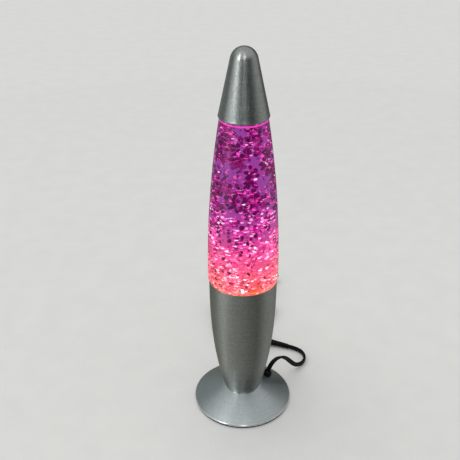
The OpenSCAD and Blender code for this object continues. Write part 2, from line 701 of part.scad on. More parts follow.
// Cord, its switch, its coil and its plug
module cord_lead() {
    color("#121212") swept(smooth(lead_route), cord_w, cord_t, 8);
}
module cord_tail() {
    color("#121212") swept(smooth(tail_route), cord_w, cord_t, 8);
}
module cord_coil() {
    color("#141414") swept(coil_route, cord_w, cord_t, 6);
}
// A strap round the turns on the coil's right side
module cord_tie() {
    slack = 0.3;
    inner_r = coil_inner_r - cord_t / 2 - slack;
    bundle_w = coil_outer_r - coil_inner_r + cord_t + 2 * slack;
    bundle_h = coil_rise + cord_w + 2 * slack;
    low = coil_lift - slack;
    tie_z = max(0, low - tie_t);
    color("#2c2c2e") translate([coil_pos.x, coil_pos.y + tie_w / 2, 0]) rotate([90, 0, 0])
        linear_extrude(tie_w) difference() {
            translate([inner_r - tie_t, tie_z]) square([bundle_w + 2 * tie_t, bundle_h + 2 * tie_t]);
            translate([inner_r, tie_z + tie_t]) square([bundle_w, bundle_h]);
        }
}

// Strain reliefs of the switch: rubber sleeves round the flex, thick at the housing and thin where they end
relief_play = 0.15;
relief_wall = 0.4;
relief_gap = 0.1;
relief_rings = 9;
relief_bore = [cord_w + 2 * relief_play, cord_t + 2 * relief_play];
relief_thin = relief_bore + [2 * relief_wall, 2 * relief_wall];
relief_flare = [1.4, 4.6];
relief_thick = [cord_w, cord_t] + relief_flare;
function reversed(route) = [for (i = [len(route) - 1 : -1 : 0]) route[i]];
function relief_route(route) = concat(
    [route[0] + relief_gap * (route[1] - route[0]) / norm(at(route, 1) - at(route, 0))],
    [for (i = [1 : relief_rings - 1]) route[i]]);
module sleeve(route, sides) {
    n = len(route);
    outer = [for (i = [0 : n - 1]) let (size = relief_thick + (relief_thin - relief_thick) * i / (n - 1))
        each section(route, i, size.x, size.y, sides)];
    bore = [for (i = [0 : n - 1]) each section(route, i, relief_bore.x, relief_bore.y, sides)];
    m = n * sides;
    wall_faces = [for (i = [0 : n - 2], j = [0 : sides - 1])
        let (a = i * sides + j, b = i * sides + (j + 1) % sides, c = a + sides, d = b + sides)
        each [[a, d, b], [a, c, d], [a + m, b + m, d + m], [a + m, d + m, c + m]]];
    end_faces = [for (j = [0 : sides - 1])
        let (a = j, b = (j + 1) % sides, c = a + m - sides, d = b + m - sides)
        each [[a, b, b + m], [a, b + m, a + m], [c, d + m, d], [c, c + m, d + m]]];
    polyhedron(points = concat(outer, bore), faces = concat(wall_faces, end_faces));
}
module switch_reliefs() {
    color("#121212") {
        sleeve(relief_route(reversed(smooth(lead_route))), 8);
        sleeve(relief_route(smooth(tail_route)), 8);
    }
}

// Switch: a housing in two halves with rounded corners
switch_corner = 5;
module rounded_block(l, w, h, r) {
    linear_extrude(h) union() {
        square([l - 2 * r, w], center = true);
        square([l, w - 2 * r], center = true);
        for (x = [-1, 1], y = [-1, 1]) translate([x * (l / 2 - r), y * (w / 2 - r)]) circle(r = r);
    }
}
screw_inset = [9, 4];
screw_post_x = switch_l / 2 - screw_inset.x;
screw_post_y = switch_w / 2 - screw_inset.y;
screw_post_r = 2.4;
screw_r_small = 1.1;
screw_head_r = 2;
screw_head_h = 1.2;
screw_sink = 0.3;
post_sides = [[1, 1], [-1, -1]];
module switch_base() {
    color("#111111") on_switch() difference() {
        union() {
            difference() {
                rounded_block(switch_l, switch_w, switch_split, switch_corner);
                translate([0, 0, switch_wall])
                    rounded_block(switch_l - 2 * switch_wall, switch_w - 2 * switch_wall, switch_h,
                        switch_corner - switch_wall);
            }
            for (p = post_sides) translate([p.x * screw_post_x, p.y * screw_post_y, 0])
                cylinder(r = screw_post_r, h = switch_split);
        }
        for (p = post_sides) translate([p.x * screw_post_x, p.y * screw_post_y, -1]) {
            cylinder(r = screw_r_small + play, h = switch_h);
            cylinder(r = screw_head_r, h = 1 + screw_head_h + play);
        }
    }
}
screw_bite = 4;
cheek_t = 1.2;
cheek_l = 7;
rocker_side = rocker_w / 2 + 0.3;
module switch_cover() {
    open_l = 2 * (rocker_r + rocker_gap);
    top_z = switch_h - switch_wall;
    color("#141414") on_switch() difference() {
        union() {
            difference() {
                translate([0, 0, switch_split])
                    rounded_block(switch_l, switch_w, switch_h - switch_split, switch_corner);
                translate([0, 0, switch_split - 1])
                    rounded_block(switch_l - 2 * switch_wall, switch_w - 2 * switch_wall,
                        top_z - switch_split + 1, switch_corner - switch_wall);
                translate([-open_l / 2, -rocker_side, switch_split])
                    cube([open_l, 2 * rocker_side, switch_h]);
            }
            for (p = post_sides) translate([p.x * screw_post_x, p.y * screw_post_y, switch_split])
                cylinder(r = screw_post_r, h = top_z - switch_split + 0.2);
            for (s = [-1, 1])
                translate([-cheek_l / 2, s * (rocker_side + cheek_t / 2) - cheek_t / 2, switch_split])
                    cube([cheek_l, cheek_t, top_z - switch_split + 0.2]);
        }
        translate([0, 0, pivot_z]) rotate([90, 0, 0])
            cylinder(r = pivot_d / 2 + play, h = 2 * (rocker_side + cheek_t) + 1, center = true);
        for (p = post_sides) translate([p.x * screw_post_x, p.y * screw_post_y, switch_split - 1])
            cylinder(r = screw_r_small + play, h = screw_bite + 1.2);
    }
}
// Two brass strips on the base's floor, each with a contact button under the rocker
strip_h = 0.8;
button_h = 0.8;
button_x = 2.5;
module switch_contacts() {
    gap = 3;
    reach = switch_l / 2 - switch_wall - 7;
    color("#c9a54e") on_switch() for (s = [-1, 1]) {
        translate([s > 0 ? gap / 2 : -reach, -2.2, switch_wall]) cube([reach - gap / 2, 4.4, strip_h]);
        translate([s * button_x, 0, switch_wall]) cylinder(r = 0.9, h = strip_h + button_h);
        translate([s > 0 ? reach - 3 : -reach, -2.2, switch_wall]) cube([3, 4.4, 2.4]);
    }
}
module switch_screws() {
    color("#8c8f92") on_switch() for (p = post_sides)
        translate([p.x * screw_post_x, p.y * screw_post_y, screw_sink]) {
            cylinder(r = screw_r_small, h = switch_split + screw_bite - 2 * screw_sink);
            cylinder(r = screw_head_r - 2 * play, h = screw_head_h - screw_sink);
        }
}
// Rocker: a drum segment with a shallow valley on top, its pivot and a post for the moving contact
rocker_low = 2.2;
post_gap = 0.15;
post_r = 1.2;
module switch_rocker() {
    valley_z = 4.9;
    valley_lap = 0.6;
    color("#1c1c1c") on_switch() translate([0, 0, pivot_z]) rotate([0, rocker_tilt, 0]) {
        difference() {
            intersection() {
                rotate([90, 0, 0]) cylinder(r = rocker_r, h = rocker_w, center = true);
                translate([-rocker_r, -rocker_w, -rocker_low])
                    cube([2 * rocker_r, 2 * rocker_w, 2 * rocker_r]);
            }
            for (s = [-1, 1]) translate([0, 0, valley_z]) rotate([0, -s * rocker_tilt, 0])
                translate([s > 0 ? -valley_lap : valley_lap - 2 * rocker_r, -rocker_w, 0])
                    cube([2 * rocker_r, 2 * rocker_w, rocker_r]);
        }
        rotate([90, 0, 0]) cylinder(r = pivot_d / 2, h = 2 * (rocker_side + cheek_t) - 0.4, center = true);
        post_h = bridge_r - bridge_t - post_gap;
        translate([0, 0, -post_h]) cylinder(r = post_r, h = post_h);
    }
}

// Moving contact under the rocker: an arc about the pivot that spans both buttons when the switch is on
bridge_r = pivot_z - switch_wall - strip_h - button_h - 0.4;
bridge_t = 0.6;
bridge_half = 26;
module switch_bridge() {
    color("#c9a54e") on_switch() translate([0, 0, pivot_z]) rotate([90, 0, 0])
        translate([0, 0, -1.8]) rotate([0, 0, 270 - bridge_half]) rotate_extrude(angle = 2 * bridge_half)
            translate([bridge_r - bridge_t, 0]) square([bridge_t, 3.6]);
}

// Plug: a flat body that narrows to the cord, with two round pins
plug_tail_w = 11;
plug_tail_t = 8;
plug_nose_l = 12;
sleeve_wall = 0.35;
pin_core_r = sleeve_d / 2 - sleeve_wall - play;
pin_depth = 9;
pin_tip_h = 1;
module plug_body() {
    nose_x = plug_l - plug_nose_l;
    plan = [[0, plug_tail_w / 2], [0, -plug_tail_w / 2], [nose_x, -plug_w / 2], [plug_l, -plug_w / 2],
        [plug_l, plug_w / 2], [nose_x, plug_w / 2]];
    side = [[0, -plug_tail_t / 2], [nose_x, -plug_t / 2], [plug_l, -plug_t / 2], [plug_l, plug_t / 2],
        [nose_x, plug_t / 2], [0, plug_tail_t / 2]];
    color("#101010") on_plug() difference() {
        intersection() {
            translate([0, 0, -plug_t]) linear_extrude(2 * plug_t) polygon(plan);
            rotate([90, 0, 0]) translate([0, 0, -plug_w]) linear_extrude(2 * plug_w) polygon(side);
        }
        for (s = [-1, 1]) translate([plug_l - pin_depth - play, s * pin_pitch / 2, 0]) rotate([0, 90, 0])
            cylinder(r = pin_core_r + play, h = pin_depth + 1);
    }
}
// Places a shape drawn on +Z on both pins, from the plug's front face
module on_pins() {
    on_plug() for (s = [-1, 1]) translate([plug_l, s * pin_pitch / 2, 0]) rotate([0, 90, 0]) children();
}
module plug_pins() {
    color("#d0b877") on_pins() {
        translate([0, 0, -pin_depth]) cylinder(r = pin_core_r, h = pin_depth + sleeve_l + pin_tip_h);
        translate([0, 0, sleeve_l]) cylinder(r = pin_d / 2, h = pin_l - sleeve_l - pin_tip_h);
        translate([0, 0, pin_l - pin_tip_h]) cylinder(r1 = pin_d / 2, r2 = pin_d / 2 - 0.8, h = pin_tip_h);
    }
}
module pin_sleeves() {
    color("#0f0f0f") on_pins() ring(sleeve_d / 2, pin_core_r + play, 0, sleeve_l);
}

base_pad();
bottom_cover();
foot();
cord_gland();
threaded_pipe();
pipe_nuts();
pipe_washers();
holder();
lampholder_base();
lampholder_barrel();
screw_shell();
centre_contact();
terminal_screws();
wire_live();
wire_neutral();
bulb_contact();
bulb_insulator();
bulb_screw_cap();
bulb_glass();
bulb_stem();
bulb_filament();
bottle();
liquid();
glitter();
bottle_closure();
closure_seal();
cap();
cord_lead();
switch_base();
switch_cover();
switch_contacts();
switch_screws();
switch_rocker();
switch_bridge();
switch_reliefs();
cord_tail();
cord_coil();
cord_tie();
plug_body();
plug_pins();
pin_sleeves();
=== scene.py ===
"""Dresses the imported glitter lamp: turned metal, lit glitter liquid, a flat twin flex and the studio."""

import logging
import math
import random
from collections.abc import Callable, Iterator, Mapping, Sequence
from contextlib import contextmanager
from dataclasses import dataclass
from enum import Enum
from functools import cache
from itertools import pairwise
from typing import NamedTuple

import bpy
from bpy.types import ID, Material, Node, NodeSocket, NodeTree, Object
from mathutils import Matrix, Vector, noise


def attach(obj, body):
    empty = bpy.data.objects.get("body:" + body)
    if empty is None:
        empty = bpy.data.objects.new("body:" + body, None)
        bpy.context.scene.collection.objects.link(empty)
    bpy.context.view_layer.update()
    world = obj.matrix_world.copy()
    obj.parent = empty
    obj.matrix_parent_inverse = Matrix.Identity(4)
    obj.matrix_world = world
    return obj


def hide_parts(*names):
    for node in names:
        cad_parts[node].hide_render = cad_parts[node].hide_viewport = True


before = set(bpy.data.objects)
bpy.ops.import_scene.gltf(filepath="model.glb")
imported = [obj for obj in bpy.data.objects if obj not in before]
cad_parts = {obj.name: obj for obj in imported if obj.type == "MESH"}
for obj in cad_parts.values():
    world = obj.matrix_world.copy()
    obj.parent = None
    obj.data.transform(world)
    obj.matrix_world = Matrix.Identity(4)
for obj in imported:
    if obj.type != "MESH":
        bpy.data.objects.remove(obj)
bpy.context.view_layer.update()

LOG = logging.getLogger("glitter_lamp")
MM = 0.001
QUARTER = math.pi / 2

# Stretches round the axis of a large turned piece, of the liquid's depth and the card, and of a small piece
TURN_STEPS = 144
PLAIN_STEPS = 96
SMALL_STEPS = 64
# Points closer than the first are one point, and faces thinner than the second are dissolved, in millimetres
MERGE_GAP = 0.002
SLIVER = 0.0005
# Least angle of an edge that stays sharp, on turned pieces, on mouldings and on the flex
TURNED_EDGE = math.radians(32)
MOULDED_EDGE = math.radians(35)
FLEX_EDGE = math.radians(50)
# Faces of a node that lie this close to flat are joined before its edges are rounded
FLAT_ENOUGH = math.radians(1)
# Numbered sockets of a mix node: its factor, its floats, its colours, and the mixed colour that it gives
FACTOR, FLOAT_A, FLOAT_B, COLOUR_A, COLOUR_B = 0, 2, 3, 6, 7
MIXED_COLOUR = 2

Point = tuple[float, float]
Place = tuple[float, float, float]
Twisted = tuple[float, float, float, float]
Stops = Sequence[tuple[float, str]]
Source = Node | NodeSocket


class Body(Enum):
    """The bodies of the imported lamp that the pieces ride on."""

    BASE = "base"
    BOTTLE = "bottle"
    CAP = "cap"
    ROCKER = "rocker"


class FarEnd(Enum):
    """What a cord ends in."""

    FITTING = "fitting"
    PLUG = "plug"


class Lay(Enum):
    """How a cord lies."""

    LOOSE = "loose"
    COILED = "coiled"


class Slot(Enum):
    """The record's material slots, one named for each new piece."""

    FOOT = "foot_aluminium"
    METAL = "spun_aluminium"
    RUBBER = "gland_rubber"
    GLASS = "bottle_glass"
    LIQUID = "tinted_liquid"
    GLITTER = "glitter_film"
    FLEX = "flex"
    STRAP = "tie"
    PLASTIC = "black_plastic"


def linear(colour: str) -> tuple[float, float, float, float]:
    """Turns an sRGB hex colour to linear light.

    Args:
        colour: The colour as "#rrggbb".

    Returns:
        Red, green, blue and a full alpha.
    """
    shares = [int(colour[i:i + 2], 16) / 255 for i in (1, 3, 5)]
    red, green, blue = (s / 12.92 if s <= 0.04045 else ((s + 0.055) / 1.055) ** 2.4 for s in shares)
    return (red, green, blue, 1.0)


# Surface of the liquid's materials: black but for the glow painted into it, which stands for the bulb's light
# in the dyed water, and with no reflection
PAINTED_GLOW = {"Base Color": linear("#000000"), "Roughness": 0.6, "IOR": 1.0, "Emission Strength": 1.0}


def per_mm(size: float) -> float:
    """Texture scale at which one feature is that many millimetres wide."""
    return 1.0 / (size * MM)


def spread(start: float, end: float, count: int) -> list[float]:
    """Evenly spaced values from a start to an end, both included."""
    return [start + (end - start) * i / count for i in range(count + 1)]


def add_node(
    tree: NodeTree,
    kind: str,
    inputs: Mapping[str | int, object] | None = None,
    stops: Stops = (),
    **settings: object,
) -> Node:
    """Adds a shader node with its settings and links.

    Args:
        tree: The node tree that takes the node.
        kind: The node's type, without the words that all shader nodes start with.
        inputs: Values, sockets, or nodes that give their first output, by the input's name or number.
        stops: Places and hex colours of a colour ramp.
        settings: Properties of the node.

    Returns:
        The new node.
    """
    node = tree.nodes.new("ShaderNode" + kind)
    for name, value in settings.items():
        setattr(node, name, value)
    for key, value in (inputs or {}).items():
        source = value.outputs[0] if isinstance(value, Node) else value
        if isinstance(source, NodeSocket):
            tree.links.new(source, node.inputs[key])
        else:
            node.inputs[key].default_value = source
    if stops:
        ramp = node.color_ramp.elements
        ramp.remove(ramp[1])
        ramp[0].position = stops[0][0]
        ramp[0].color = linear(stops[0][1])
    for place, colour in stops[1:]:
        ramp.new(place).color = linear(colour)
    return node


@dataclass(frozen=True)
class Dress:
    """A material: each kind adds its own nodes."""

    name: str

    def shader(self, tree: NodeTree) -> Node:
        """Adds the material's nodes and gives its shader."""
        raise NotImplementedError


@cache
def material_of(look: Dress) -> Material:
    """Builds a material, once for each dress.

    Args:
        look: What the material looks like.

    Returns:
        The material.
    """
    material = bpy.data.materials.new(look.name)
    material.use_nodes = True
    tree = material.node_tree
    tree.nodes.clear()
    add_node(tree, "OutputMaterial", {"Surface": look.shader(tree)})
    return material


def dress(piece: Object, *looks: Dress) -> None:
    """Puts materials in the slots of a new piece or of a node's object, in order.

    Args:
        piece: The piece or the node's object.
        looks: What goes in its slots.
    """
    piece.data.materials.clear()
    for look in looks:
        piece.data.materials.append(material_of(look))


@dataclass(frozen=True)
class Finish(Dress):
    """A surface with a colour that drifts, a fine grain and a gloss that follows the grain."""

    dark: str
    light: str
    gloss: Point
    grain_mm: float
    depth_mm: float
    metallic: float = 0.0
    shine: float = 0.5
    alpha: float = 1.0
    glow: str = "#000000"
    glow_strength: float = 0.0
    drift_times: float = 14.0
    colour_span: Point = (0.12, 0.42)
    gloss_span: Point = (0.1, 0.45)

    def shader(self, tree: NodeTree) -> Node:
        """Adds the grain, the drift and the surface that they shape.

        Args:
            tree: The material's node tree.

        Returns:
            The shader.
        """
        place = add_node(tree, "TexCoord").outputs["Object"]
        grain = add_node(tree, "TexNoise", {
            "Vector": place, "Scale": per_mm(self.grain_mm), "Detail": 4.0, "Roughness": 0.6})
        drift = add_node(tree, "TexNoise", {
            "Vector": place, "Scale": per_mm(self.grain_mm * self.drift_times), "Detail": 2.0})
        both = add_node(tree, "Math", {0: grain, 1: drift}, operation="MULTIPLY")
        colour = add_node(tree, "ValToRGB", {"Fac": both},
                          list(zip(self.colour_span, (self.dark, self.light))))
        gloss = add_node(tree, "MapRange", {
            "Value": both, "From Min": self.gloss_span[0], "From Max": self.gloss_span[1],
            "To Min": self.gloss[0], "To Max": self.gloss[1]})
        bump = add_node(tree, "Bump", {"Height": grain, "Strength": 0.6, "Distance": self.depth_mm * MM})
        return add_node(tree, "BsdfPrincipled", {
            "Base Color": colour, "Roughness": gloss, "Normal": bump, "Metallic": self.metallic,
            "Specular IOR Level": self.shine, "Alpha": self.alpha,
            "Emission Color": linear(self.glow), "Emission Strength": self.glow_strength})


@dataclass(frozen=True)
class TurnedAluminium(Dress):
    """Satin aluminium from the lathe: rings round the axis draw a highlight out along it."""

    dark: str
    light: str
    gloss: Point
    ring_mm: float
    speck_mm: float
    depth_mm: float
    stretch: float
    colour_span: Point = (0.2, 0.8)

    def shader(self, tree: NodeTree) -> Node:
        """Adds the rings and the specks, and the metal that they shape.

        Args:
            tree: The material's node tree.

        Returns:
            The shader.
        """
        place = add_node(tree, "TexCoord").outputs["Object"]
        parts = add_node(tree, "SeparateXYZ", {"Vector": place}).outputs
        flat = add_node(tree, "CombineXYZ", {"X": parts["X"], "Y": parts["Y"]})
        radius = add_node(tree, "VectorMath", {0: flat}, operation="LENGTH").outputs["Value"]
        along = add_node(tree, "Math", {0: parts["Z"], 1: radius}, operation="ADD")
        rings = add_node(tree, "TexNoise", {
            "W": along, "Scale": per_mm(self.ring_mm), "Detail": 3.0}, noise_dimensions="1D")
        specks = add_node(tree, "TexVoronoi", {"Vector": place, "Scale": per_mm(self.speck_mm)})
        shade = add_node(tree, "SeparateColor", {"Color": specks.outputs["Color"]}).outputs
        mixed = add_node(tree, "Mix", {FACTOR: 0.5, FLOAT_A: rings, FLOAT_B: shade["Red"]}, data_type="FLOAT")
        colour = add_node(tree, "ValToRGB", {"Fac": mixed},
                          list(zip(self.colour_span, (self.dark, self.light))))
        gloss = add_node(tree, "MapRange", {
            "Value": shade["Green"], "To Min": self.gloss[0], "To Max": self.gloss[1]})
        bump = add_node(tree, "Bump", {"Height": mixed, "Strength": 0.5, "Distance": self.depth_mm * MM})
        return add_node(tree, "BsdfPrincipled", {
            "Base Color": colour, "Roughness": gloss, "Normal": bump, "Metallic": 1.0,
            "Anisotropic": self.stretch, "Anisotropic Rotation": 0.25})


@dataclass(frozen=True)
class BottleGlass(Dress):
    """Clear blown glass: faint waves bend what is seen through it."""

    ior: float
    shine: float
    wave_mm: float
    depth_mm: float
    tint: Stops = ((0.3, "#f6f0f7"), (0.7, "#fcf9fd"))

    def shader(self, tree: NodeTree) -> Node:
        """Adds the waves and the clear glass.

        Args:
            tree: The material's node tree.

        Returns:
            The shader.
        """
        place = add_node(tree, "TexCoord").outputs["Object"]
        waves = add_node(tree, "TexNoise", {"Vector": place, "Scale": per_mm(self.wave_mm), "Detail": 2.0})
        tint = add_node(tree, "ValToRGB", {"Fac": waves}, self.tint)
        bump = add_node(tree, "Bump", {"Height": waves, "Strength": 0.4, "Distance": self.depth_mm * MM})
        return add_node(tree, "BsdfPrincipled", {
            "Base Color": tint, "Normal": bump, "Roughness": 0.02, "IOR": self.ior,
            "Specular IOR Level": self.shine, "Transmission Weight": 1.0})


class LitWater(NamedTuple):
    """What the materials of the liquid share: place, height, swayed height, swirl and painted glow."""

    place: NodeSocket
    height: NodeSocket
    swayed: Node
    swirl: Node
    glow: Node


@dataclass(frozen=True)
class DyedLiquidPaintedGlow(Dress):
    """Dyed water with the bulb's light from below painted in as a glow: orange over the bulb, then hot pink,
    then violet.
    """

    swirl_mm: float = 14.0
    sway_mm: float = 10.0
    shades: Stops = (
        (136, "#ff6540"), (148, "#fa6670"), (165, "#f8568e"),
        (185, "#cc469a"), (212, "#9e3f9c"), (282, "#9b429f"))

    def light(self, tree: NodeTree) -> LitWater:
        """Adds the painted glow by height, swayed by the water's slow swirl.

        Args:
            tree: The material's node tree.

        Returns:
            What the materials of the liquid share.
        """
        place = add_node(tree, "TexCoord").outputs["Object"]
        height = add_node(tree, "SeparateXYZ", {"Vector": place}).outputs["Z"]
        swirl = add_node(tree, "TexNoise", {
            "Vector": place, "Scale": per_mm(self.swirl_mm), "Detail": 3.0, "Distortion": 1.2})
        sway = add_node(tree, "MapRange", {
            "Value": swirl, "To Min": -self.sway_mm * MM, "To Max": self.sway_mm * MM})
        swayed = add_node(tree, "Math", {0: height, 1: sway}, operation="ADD")
        low, high = self.shades[0][0], self.shades[-1][0]
        share = add_node(tree, "MapRange", {"Value": swayed, "From Min": low * MM, "From Max": high * MM})
        glow = add_node(tree, "ValToRGB", {"Fac": share},
                        [((z - low) / (high - low), colour) for z, colour in self.shades])
        return LitWater(place, height, swayed, swirl, glow)


@dataclass(frozen=True)
class LiquidSkin(DyedLiquidPaintedGlow):
    """Liquid against the glass: clear, but for painted lines of gathered light at the seat and below the
    shoulder.

    A line has its height and half its width in millimetres, and its colour.
    """

    cover: float = 0.02
    line_cover: float = 0.8
    seat_line: tuple[float, float, str] = (136.6, 0.6, "#ff9878")
    shoulder_line: tuple[float, float, str] = (282.6, 0.7, "#ff58cc")

    def shader(self, tree: NodeTree) -> Node:
        """Adds the clear skin with its two painted lines of light.

        Args:
            tree: The material's node tree.

        Returns:
            The shader.
        """
        water = self.light(tree)
        colour: Source = water.glow
        lines: list[Node] = []
        for height, reach, shade in (self.seat_line, self.shoulder_line):
            line = add_node(tree, "Math", {
                0: water.height, 1: height * MM, 2: reach * MM}, operation="COMPARE")
            mixed = add_node(tree, "Mix", {
                FACTOR: line, COLOUR_A: colour, COLOUR_B: linear(shade)}, data_type="RGBA")
            colour = mixed.outputs[MIXED_COLOUR]
            lines.append(line)
        either = add_node(tree, "Math", dict(enumerate(lines)), operation="ADD")
        cover = add_node(tree, "MapRange", {"Value": either, "To Min": self.cover, "To Max": self.line_cover})
        return add_node(tree, "BsdfPrincipled", {**PAINTED_GLOW, "Emission Color": colour, "Alpha": cover})


@dataclass(frozen=True)
class LiquidDepth(DyedLiquidPaintedGlow):
    """Liquid so deep that the dye hides what lies behind, with a painted glow and the flakes that float too
    deep to be modelled.

    The swarm is how much the deep flakes hide where the swirl is strong enough, and gloom is how many of
    them are painted dark, as flakes in shade, at the lowest and at the highest height of its span; the rest
    past bright_from are painted bright, as flakes that catch the light.
    """

    flake_mm: float = 3.0
    flake_reach: float = 0.5
    swarm: float = 0.75
    swarm_span: Point = (0.4, 0.5)
    gloom: Point = (0.04, 0.5)
    gloom_span: Point = (150.0, 205.0)
    bright_from: float = 0.82
    # Painted shade and painted light: the colour of a deep flake in shade and of one that catches the light
    shaded_flake_paint: str = "#5c0a4c"
    lit_flake_paint: str = "#f860be"

    def shader(self, tree: NodeTree) -> Node:
        """Adds the painted deep glow with its flakes painted dark in shade and bright in the light.

        Args:
            tree: The material's node tree.

        Returns:
            The shader.
        """
        water = self.light(tree)
        cells = add_node(tree, "TexVoronoi", {"Vector": water.place, "Scale": per_mm(self.flake_mm)})
        luck = add_node(tree, "SeparateColor", {"Color": cells.outputs["Color"]}).outputs["Red"]
        inside = {0: cells.outputs["Distance"], 1: self.flake_reach}
        flake = add_node(tree, "Math", inside, operation="LESS_THAN")
        crowd = add_node(tree, "MapRange", {
            "Value": water.swirl, "From Min": self.swarm_span[0], "From Max": self.swarm_span[1],
            "To Max": self.swarm})
        hidden = add_node(tree, "Math", {0: flake, 1: crowd}, operation="MULTIPLY")
        gloom = add_node(tree, "MapRange", {
            "Value": water.swayed, "From Min": self.gloom_span[0] * MM, "From Max": self.gloom_span[1] * MM,
            "To Min": self.gloom[0], "To Max": self.gloom[1]})
        dark = add_node(tree, "Math", {0: luck, 1: gloom}, operation="LESS_THAN")
        bright = add_node(tree, "Math", {0: luck, 1: self.bright_from}, operation="GREATER_THAN")
        colour: Source = water.glow
        for kind, shade in ((dark, self.shaded_flake_paint), (bright, self.lit_flake_paint)):
            amount = add_node(tree, "Math", {0: kind, 1: hidden}, operation="MULTIPLY")
            mixed = add_node(tree, "Mix", {
                FACTOR: amount, COLOUR_A: colour, COLOUR_B: linear(shade)}, data_type="RGBA")
            colour = mixed.outputs[MIXED_COLOUR]
        return add_node(tree, "BsdfPrincipled", {**PAINTED_GLOW, "Emission Color": colour})


@dataclass(frozen=True)
class FlakeFilm(Dress):
    """Metallised film: each flake glows with its painted light or shade, the light that it happens to catch.
    """

    attribute: str

    def shader(self, tree: NodeTree) -> Node:
        """Adds the film, lit by each flake's own colour.

        Args:
            tree: The material's node tree.

        Returns:
            The shader.
        """
        # Each flake's colour is painted light or shade, both as its metal's colour and as its glow
        catch = add_node(tree, "Attribute", attribute_name=self.attribute)
        return add_node(tree, "BsdfPrincipled", {
            "Base Color": catch, "Metallic": 1.0, "Roughness": 0.3,
            "Emission Color": catch, "Emission Strength": 0.85})


@dataclass(frozen=True)
class RoomCard(Dress):
    """A grey card round the lamp that stands for a room: its shade changes with the direction.

    The shades go by degrees from the front, to the right.
    """

    strength: float
    shades: Stops

    def shader(self, tree: NodeTree) -> Node:
        """Adds the card's glow by direction.

        Args:
            tree: The material's node tree.

        Returns:
            The shader.
        """
        place = add_node(tree, "TexCoord").outputs["Object"]
        parts = add_node(tree, "SeparateXYZ", {"Vector": place}).outputs
        front = add_node(tree, "Math", {0: parts["Y"], 1: -1.0}, operation="MULTIPLY")
        around = add_node(tree, "Math", {0: parts["X"], 1: front}, operation="ARCTAN2")
        share = add_node(tree, "MapRange", {"Value": around, "From Min": -math.pi, "From Max": math.pi})
        shade = add_node(tree, "ValToRGB", {"Fac": share},
                         [((turn + 180) / 360, colour) for turn, colour in self.shades])
        return add_node(tree, "Emission", {"Color": shade, "Strength": self.strength})


# Satin grey aluminium of the cap and the holder: soft streaks along the axis and a fine turned grain
GREY_ALUMINIUM = TurnedAluminium(
    "satin turned aluminium", "#989b99", "#b4b7b5", (0.28, 0.4), 1.6, 0.9, 0.12, 0.7)
# Brighter aluminium of the foot: specks sparkle in the light, drawn coarser than they are so that they show
FOOT_ALUMINIUM = TurnedAluminium(
    "bright satin aluminium", "#b2b9ba", "#c6cccd", (0.3, 0.42), 0.9, 0.7, 0.008, 0.35)
# Polished edges of the foot: thin bright lines
POLISHED_ALUMINIUM = TurnedAluminium(
    "polished aluminium edge", "#dfe4e5", "#f0f3f3", (0.1, 0.16), 1.0, 1.2, 0.002, 0.2)
# Closed-cell rubber pad: dull black with open pores
FOAM_RUBBER = Finish("closed cell foam rubber", "#0c0c0c", "#1c1c1b", (0.75, 0.95), 0.8, 0.08)
# Pressed fibre board: dark with pale fibres
FIBRE_BOARD = Finish("pressed fibre board", "#141311", "#2a2723", (0.7, 0.9), 1.2, 0.05)
# Moulded rubber of the gland and the strain reliefs: deep black with a soft sheen
MOULDED_RUBBER = Finish("moulded black rubber", "#040404", "#0b0b0b", (0.5, 0.66), 0.7, 0.02, shine=0.2)
# Drawn brass: warm yellow with a drawn gleam
DRAWN_BRASS = Finish("drawn brass", "#a8803a", "#d6b266", (0.18, 0.34), 0.9, 0.01, metallic=1.0)
# Zinc plated steel: cool grey with a cloudy bloom
ZINC_STEEL = Finish("zinc plated steel", "#8d8f8e", "#bfc2c1", (0.25, 0.45), 1.0, 0.015, metallic=1.0)
# Glazed steatite: creamy white with a glassy skin
STEATITE = Finish("glazed steatite", "#d8d0bd", "#eee8da", (0.12, 0.25), 2.0, 0.01)
# Insulation of the two cores: waxy and smooth
BROWN_INSULATION = Finish("brown core insulation", "#4e2a12", "#6b3c1c", (0.35, 0.5), 0.8, 0.01)
BLUE_INSULATION = Finish("blue core insulation", "#1d4f93", "#2f6bb4", (0.35, 0.5), 0.8, 0.01)
# Solder bead: grey and slightly wrinkled
SOLDER = Finish("tin solder", "#8a8a8c", "#b4b4b6", (0.25, 0.4), 0.6, 0.03, metallic=1.0)
# Black glass of the bulb's contact end: dark and glossy
BLACK_GLASS = Finish("black contact glass", "#070707", "#111113", (0.06, 0.14), 0.8, 0.005)
# Frosted bulb: an even warm glow
FROSTED_BULB = Finish("frosted bulb glass", "#efe3d2", "#fff6e6", (0.4, 0.6), 0.6, 0.01,
                      alpha=0.85, glow="#ffd9a0", glow_strength=0.8)
# Glass of the bulb's stem: pale, glossy and half clear
STEM_GLASS = Finish("clear stem glass", "#c8d0d4", "#e2e8ea", (0.05, 0.12), 1.5, 0.01, alpha=0.5)
# Tungsten wire: glows orange
TUNGSTEN = Finish("glowing tungsten", "#8d8279", "#b5a79a", (0.3, 0.45), 0.5, 0.01,
                  metallic=1.0, glow="#ffc070", glow_strength=2.0)
# Wetted inside of the bottle: hardly there, as glass and liquid bend light alike
WETTED_WALL = Finish("wetted inner glass", "#2c0a2a", "#4a1446", (0.3, 0.4), 3.0, 0.002,
                     shine=0.0, alpha=0.02)
# Lacquered tin plate of the closure: pale gold with a cloudy lacquer
TIN_PLATE = Finish("lacquered tin plate", "#a39a7c", "#cbc3a8", (0.22, 0.4), 1.2, 0.01, metallic=1.0)
# Seal in the closure: pale and dull
SEAL_RUBBER = Finish("pale sealing rubber", "#c9c2b2", "#ddd7c9", (0.5, 0.7), 0.9, 0.01)
# Flexible black cover of the flex: deep black with a slightly greasy gloss
FLEX_COVER = Finish("black flexible PVC", "#040405", "#0a0a0b", (0.34, 0.46), 0.9, 0.012, shine=0.2)
